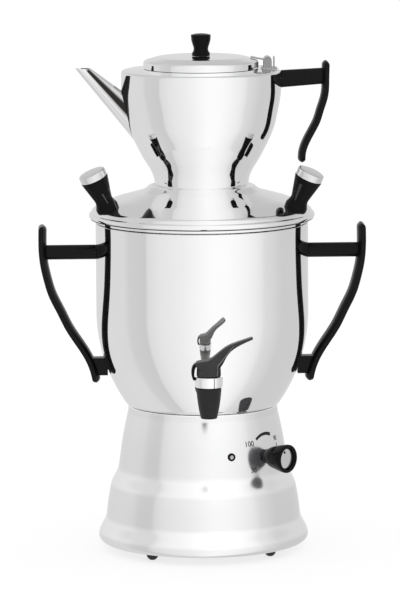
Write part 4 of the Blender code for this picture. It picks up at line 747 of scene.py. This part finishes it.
lathe("capKnob", capKnobProfile(capKnobShape), "teapot_cap", "black_plastic", glossPlastic,
      ["teapot_lid_knob"], steps=64, place=Matrix.Translation((0, 0, (capTop + 0.3) * mm)))
print("knobs and handles made")


# Tap

tapShape = dict(reach=146.0, top=10.75, topZ=165.4, nozzle=6.85, nozzleZ=140.0, bore=4.6, boreZ=152.0,
                neck=9.0, ring=12.0, ringZ=167.0, ringTop=176.0, ringEdge=0.8, shank=7.0, shankZ=157.5,
                hub=10.4, hubZ=176.3, hubTop=188.6)
# lever: along, height, thickness, half width and lean of the blade from the hub to the tip
leverRows = [(-11.3, 186.9, 3.6, 6.4, 0), (-8.0, 186.2, 6.4, 8.0, 0), (-3.0, 185.4, 9.6, 9.2, 0),
             (3.6, 186.2, 11.6, 9.2, 2), (8.4, 190.3, 9.8, 8.4, 3), (12.6, 195.4, 7.2, 7.6, 3),
             (18.0, 200.2, 5.2, 7.1, 3), (24.0, 203.4, 3.7, 6.8, 3), (31.0, 206.3, 2.6, 6.6, 3),
             (37.6, 208.7, 1.9, 6.2, 3)]
tailRows = [(-9.0, 187.2, 3.2, 5.0, 0), (-12.0, 185.4, 3.2, 4.8, 0), (-13.4, 181.6, 3.0, 4.6, 0),
            (-13.4, 176.8, 2.4, 4.4, 0), (-12.4, 172.9, 1.8, 4.0, 0)]
tapPlace = Matrix.Translation((0, -tapShape["reach"] * mm, 0))


def moved(points, matrix):
    m = np.array(matrix)
    return np.asarray(points).reshape(-1, 3) @ m[:3, :3].T + m[:3, 3]


def bladeArrays(rows, count, power):
    # sections of a rounded square carried along the rows, each leaned about its own direction;
    # both ends close with shrink = sqrt(1 - (1 - distance / 1.3)^2)
    rows = np.array(rows, float)
    line = smooth(rows[:, :2], count)
    share = np.concatenate([[0], np.cumsum(np.hypot(*np.diff(rows[:, :2], axis=0).T))])
    at = np.linspace(0, share[-1], count)
    thick, width, lean = (np.interp(at, share, rows[:, i])[:, None] for i in (2, 3, 4))
    left = np.minimum(at, at[-1] - at)[:, None] / 1.3
    shrink = np.sqrt(1 - np.clip(1 - left, 0, 0.93) ** 2)
    along = np.gradient(line, axis=0)
    along /= np.linalg.norm(along, axis=1)[:, None]
    loop = squareRound(36, power)
    c, s = np.cos(np.radians(lean)), np.sin(np.radians(lean))
    wide, high = loop[None, :, 0] * width * (0.6 + 0.4 * shrink), loop[None, :, 1] * thick / 2 * shrink
    y = wide * c + high * s
    up = high * c - wide * s
    points = np.stack([line[:, :1] - along[:, 1:] * up, y, line[:, 1:] + along[:, :1] * up], -1) * mm
    return points.reshape(-1, 3), closedGrid(count, len(loop))


def tapProfile(s):
    # a tapering cone between a flat top under the ring and a short bore
    cone = smooth([(s["top"], s["topZ"] - 0.5), (s["top"] - 0.95, s["topZ"] - 9.6),
                   (s["top"] - 2.25, s["topZ"] - 18.0), (s["nozzle"] + 0.15, s["nozzleZ"] + 0.6)], 24)
    high = rounded([(0, s["topZ"] + 1.7), (s["neck"], s["topZ"] + 1.7), (s["neck"], s["topZ"] + 0.8),
                    (s["top"] - 0.1, s["topZ"] + 0.8, 0.9), tuple(cone[0])], 5)
    low = rounded([tuple(cone[-1]), (s["nozzle"], s["nozzleZ"], 0.5), (s["bore"], s["nozzleZ"], 0.3),
                   (s["bore"], s["boreZ"]), (0, s["boreZ"])], 4)
    return np.vstack([high[:-1], cone, low[1:]]) * mm


def tapRingProfile(s):
    low, high, r, e = s["ringZ"], s["ringTop"], s["ring"], s["ringEdge"]
    return rounded([(r - 2.2, high), (r, high, e), (r, (low + high) / 2 + 0.6), (r - 0.12, low + 1.2, 0.6),
                    (r - 0.3, low, e), (r - 2.2, low), (r - 2.4, low + 1)], 6) * mm


s = tapShape
shankStart = radiusAt(vesselWall, (s["shankZ"] + 9.8) * mm) + 4.4 * mm
shankPlace = outward(0, 0, s["shankZ"] * mm, 90)
shank, shankFaces = latheArrays(np.array([(0, shankStart / mm), (s["shank"], shankStart / mm),
                                          (s["shank"], s["reach"] - 2), (0, s["reach"] - 2)]) * mm, 64)
body, bodyFaces = latheArrays(tapProfile(s), 96)
tapParts = stacked((moved(body, tapPlace), bodyFaces), (moved(shank, shankPlace), shankFaces))
makePiece("tapBody", *tapParts, "samovar", "black_plastic", tapPlastic, ["tap_body"], sharp=40)
lathe("tapRing", tapRingProfile(s), "samovar", "chrome_trim", brightChrome, ["tap_ring"], steps=96, ring=True,
      place=tapPlace)
hub = rounded([(0, s["hubTop"]), (s["hub"] - 0.4, s["hubTop"] - 0.6, 2.4), (s["hub"], s["hubZ"] + 0.4, 0.5),
               (s["hub"] - 0.6, s["hubZ"]), (0, s["hubZ"])], 7) * mm
hubPoints, hubFaces = latheArrays(hub, 96)
lever = stacked((hubPoints, hubFaces), bladeArrays(leverRows, 84, 6))
makePiece("tapLever", moved(lever[0], tapPlace), lever[1], "tap_valve", "black_plastic", leverPlastic,
          ["tap_lever"], sharp=42)
tail = bladeArrays(tailRows, 36, 4)
makePiece("tapTail", moved(tail[0], tapPlace), tail[1], "tap_valve", "black_plastic", dialPlastic, sharp=42)
# the thin joint in the ring, a dark strip just proud of it
splitAngle = np.radians(np.array([19.6, 22.2, 22.2, 19.6]))
splitHeight = np.array([s["ringZ"] + 0.3, s["ringZ"] + 0.3, s["ringTop"] - 0.3, s["ringTop"] - 0.3])
splitRadius = s["ring"] + 0.05
split = np.stack([np.sin(splitAngle) * splitRadius, -np.cos(splitAngle) * splitRadius, splitHeight], 1) * mm
makePiece("ringSplit", moved(split, tapPlace), [[0, 1, 2, 3]], "samovar", "dark_steel", printInk)
gasket = rounded([(7.2, 0), (9.8, 0), (9.8, 3.6), (9.2, 4.2, 0.3), (7.2, 4.2)], 4) * mm
lathe("tapGasket", gasket, "samovar", "rubber", blackRubber, ["tap_gasket"], steps=64, ring=True,
      place=outward(0, shankStart - 4.3 * mm, s["shankZ"] * mm, 90))
print("tap made")


# Thermostat knob, its printed scale and the lamp

dialShape = dict(azimuth=47.0, z=89.6, root=6.4, rim=12.4, length=24.3, recess=9.6, recessZ=20.6, disc=9.1,
                 markAzimuth=49.0, markZ=89.2, arc=19.4)
s = dialShape
dialRoot = radiusAt(baseWall, (s["z"] - 6.6) * mm) + 0.6 * mm
dialPlace = outward(s["azimuth"], dialRoot, s["z"] * mm, 90)


def dialProfile(s):
    # a bell that opens fast from the root, with a rolled rim and a flat recess for the disc
    bell = smooth([(s["rim"] + 0.05, s["length"] - 2.4), (s["rim"] - 0.75, s["length"] - 7.2),
                   (10.3, 11.4), (9.0, 6.6), (7.3, 3.0), (s["root"], 1.2)], 30)
    face = rounded([(0, s["recessZ"]), (s["recess"], s["recessZ"], 0.3),
                    (s["recess"] + 0.1, s["length"], 0.5), (s["rim"], s["length"], 1.2), tuple(bell[0])], 6)
    return np.vstack([face[:-1], bell, [(s["root"] - 0.1, 0), (0, 0)]]) * mm


lathe("dialKnob", dialProfile(s), "thermostat", "black_plastic", dialPlastic, ["thermostat_knob"], steps=96,
      place=dialPlace)
disc = rounded([(0, s["recessZ"] + 1.25), (s["disc"] - 0.4, s["recessZ"] + 1.1, 0.5),
                (s["disc"], s["recessZ"] + 0.3, 0.2), (0, s["recessZ"] + 0.3)], 6) * mm
lathe("dialDisc", disc, "thermostat", "chrome_trim", brushedCap, ["thermostat_disc"], steps=96,
      place=dialPlace)
dot = rounded([(0, s["recessZ"] + 1.4), (1.15, s["recessZ"] + 1.36, 0.15), (1.2, s["recessZ"] + 1.0)], 4) * mm
lathe("dialDot", dot, "thermostat", "black_plastic", blackPlastic, steps=32,
      place=dialPlace @ Matrix.Translation((-2.0 * mm, 5.7 * mm, 0)))


def onBase(across, up, lift=0.07):
    # marks wrapped on the base: azimuth = place + across / radius, a little proud of the steel
    height = (s["markZ"] + np.asarray(up, float)) * mm
    outer = baseWall[np.argsort(baseWall[:, 1])]
    radius = np.interp(height, outer[:, 1], outer[:, 0]) + lift * mm
    angle = math.radians(s["markAzimuth"]) + np.asarray(across, float) * mm / radius
    return np.stack([radius * np.sin(angle), -radius * np.cos(angle), height], -1)


def wedgeArrays(start, end, radius, thin, thick, count=40):
    # an arc that widens from one end to the other
    a = np.radians(np.linspace(start, end, count))
    half = np.linspace(thin, thick, count) / 2
    points = np.stack([onBase((radius + side * half) * np.sin(a), (radius + side * half) * np.cos(a))
                       for side in (-1, 0, 1)])
    i = np.arange(count - 1)
    faces = [[r * count + k, r * count + k + 1, (r + 1) * count + k + 1, (r + 1) * count + k]
             for r in (0, 1) for k in i]
    return points.reshape(-1, 3), faces


def numberArrays(word, size, across, up):
    curve = bpy.data.curves.new("number", "FONT")
    curve.body, curve.size, curve.align_x, curve.align_y = word, size, "CENTER", "CENTER"
    curve.resolution_u, curve.offset = 4, 0.04
    holder = bpy.data.objects.new("number", curve)
    bpy.context.scene.collection.objects.link(holder)
    mesh = bpy.data.meshes.new_from_object(holder.evaluated_get(bpy.context.evaluated_depsgraph_get()))
    flat = np.array([v.co[:2] for v in mesh.vertices]).reshape(-1, 2)
    faces = [list(p.vertices) for p in mesh.polygons]
    bpy.data.objects.remove(holder)
    bpy.data.curves.remove(curve)
    bpy.data.meshes.remove(mesh)
    return onBase(flat[:, 0] + across, flat[:, 1] + up), faces


def tickArrays(across, up, width, tall):
    corners = np.array([(-1, -1), (1, -1), (1, 1), (-1, 1)]) / 2
    return onBase(across + corners[:, 0] * width, up + corners[:, 1] * tall), [[0, 1, 2, 3]]


marks = stacked(wedgeArrays(-37, 24, s["arc"], 2.2, 3.0), numberArrays("100", 6.6, -19.8, 12.4),
                numberArrays("90", 6.0, 15.4, 13.2), numberArrays("30", 6.4, -18.6, -10.6),
                tickArrays(16.6, 7.4, 1.0, 3.4))
makePiece("dialMarks", *marks, "samovar", "black_plastic", printInk, sharp=60)

lampPlace = outward(18, radiusAt(baseWall, 92 * mm), 92 * mm, 90)
bezel = rounded([(1.9, 0.2), (1.9, 1.0, 0.3), (2.6, 1.5, 0.5), (3.5, 0.9, 0.7), (3.6, -0.3)], 6) * mm
lens = rounded([(0, 1.75), (1.2, 1.5, 0.5), (1.85, 0.8, 0.2), (1.85, 0.2), (0, 0.2)], 6) * mm
lathe("lampBezel", bezel, "samovar", "black_plastic", blackPlastic, ["lamp_bezel"], steps=48, place=lampPlace)
lathe("lampLens", lens, "samovar", "lamp_lens", greyLens, ["lamp_lens"], steps=40, place=lampPlace)
print("thermostat knob, scale and lamp made")


# Studio: floor, world and camera

studio = dict(pitch=8.2, turn=-2.0, roll=-0.32, aside=-2.0, eyeZ=764.5, away=3775.0, lens=260.0)


def makeCamera(s):
    data = bpy.data.cameras.new("camera")
    data.sensor_fit = "AUTO"
    data.sensor_width = 36
    data.lens = s["lens"]
    data.clip_start, data.clip_end = 0.05, 80
    camera = bpy.data.objects.new("camera", data)
    bpy.context.scene.collection.objects.link(camera)
    turn = math.radians(s["turn"])
    back, right = Vector((math.sin(turn), -math.cos(turn), 0)), Vector((math.cos(turn), math.sin(turn), 0))
    spot = back * s["away"] * mm + right * s["aside"] * mm + Vector((0, axisY, s["eyeZ"] * mm))
    level = Matrix.Rotation(turn, 4, "Z") @ Matrix.Rotation(math.radians(90 - s["pitch"]), 4, "X")
    camera.matrix_world = Matrix.Translation(spot) @ level @ Matrix.Rotation(math.radians(s["roll"]), 4, "Z")
    bpy.context.scene.camera = camera
    return camera


def makeFloor():
    mesh = bpy.data.meshes.new("floor")
    mesh.from_pydata([(-20, -20, 0), (20, -20, 0), (20, 20, 0), (-20, 20, 0)], [], [(0, 1, 2, 3)])
    floor = bpy.data.objects.new("floor", mesh)
    bpy.context.scene.collection.objects.link(floor)
    floor.visible_glossy = False  # the world stands for it in the polished steel
    material, tree, shader, place = startFinish("paleFloor")
    cloud = noiseNode(tree, place, 2.0, 2)
    tree.links.new(between(tree, cloud, [0.26, 0.26, 0.26], [0.28, 0.28, 0.28]), shader.inputs["Base Color"])
    shader.inputs["Roughness"].default_value = 0.9
    shader.inputs["Specular IOR Level"].default_value = 0.1
    shader.inputs["Emission Color"].default_value = (1, 1, 1, 1)
    shader.inputs["Emission Strength"].default_value = 0.74
    mesh.materials.append(material)


# brightness round the studio by the angle from -Y toward +X: the front softbox and the side screens
softboxes = [(-180, 0.76), (-120, 0.84), (-96, 0.83), (-88, 0.75), (-66, 0.72), (-63, 0.86), (-48, 0.95),
             (-24, 1.03), (-4, 1.13), (10, 1.19), (26, 1.18), (40, 1.13), (56, 1.04), (64, 0.97), (70, 0.86),
             (82, 0.80), (94, 0.73), (150, 0.72), (180, 0.76)]

brightest = 1.25  # the world's strength, the softboxes being shares of it


def makeWorld():
    world = bpy.data.worlds.new("studio")
    bpy.context.scene.world = world
    world.use_nodes = True
    tree = world.node_tree
    background = tree.nodes["Background"]
    x, y, z = splitPlace(tree, "Generated")
    turn = mathNode(tree, "ARCTAN2", x, mathNode(tree, "MULTIPLY", y, -1.0))
    share = mathNode(tree, "MULTIPLY_ADD", turn, 1 / (2 * math.pi), 0.5)
    ramp = tree.nodes.new("ShaderNodeValToRGB")
    ramp.color_ramp.interpolation = "LINEAR"
    stops = ramp.color_ramp.elements
    while len(stops) > 1:
        stops.remove(stops[-1])
    for i, (angle, level) in enumerate(softboxes):
        stop = stops[0] if i == 0 else stops.new(angle / 360 + 0.5)
        stop.position = angle / 360 + 0.5
        stop.color = (level / brightest, level / brightest, level / brightest, 1)
    tree.links.new(share, ramp.inputs[0])
    upper = softStep(tree, z, 0.26, 0.50)
    behind = softStep(tree, y, -0.15, 0.30)
    dimmed = mathNode(tree, "MULTIPLY_ADD", mathNode(tree, "MULTIPLY", upper, behind), -0.18, brightest)
    seen = mathNode(tree, "MULTIPLY", ramp.outputs[0], dimmed)  # the ceiling behind the object is dim
    path = tree.nodes.new("ShaderNodeLightPath")
    mix = tree.nodes.new("ShaderNodeMix")
    mix.data_type = "FLOAT"
    tree.links.new(path.outputs["Is Glossy Ray"], mix.inputs[0])
    mix.inputs[2].default_value = 1.0
    tree.links.new(seen, mix.inputs[3])
    tree.links.new(mix.outputs[0], background.inputs["Strength"])
    background.inputs["Color"].default_value = (1, 1, 1, 1)


scene = bpy.context.scene
scene.view_settings.view_transform = "Standard"
makeFloor()
makeWorld()
makeCamera(studio)
print("studio made")
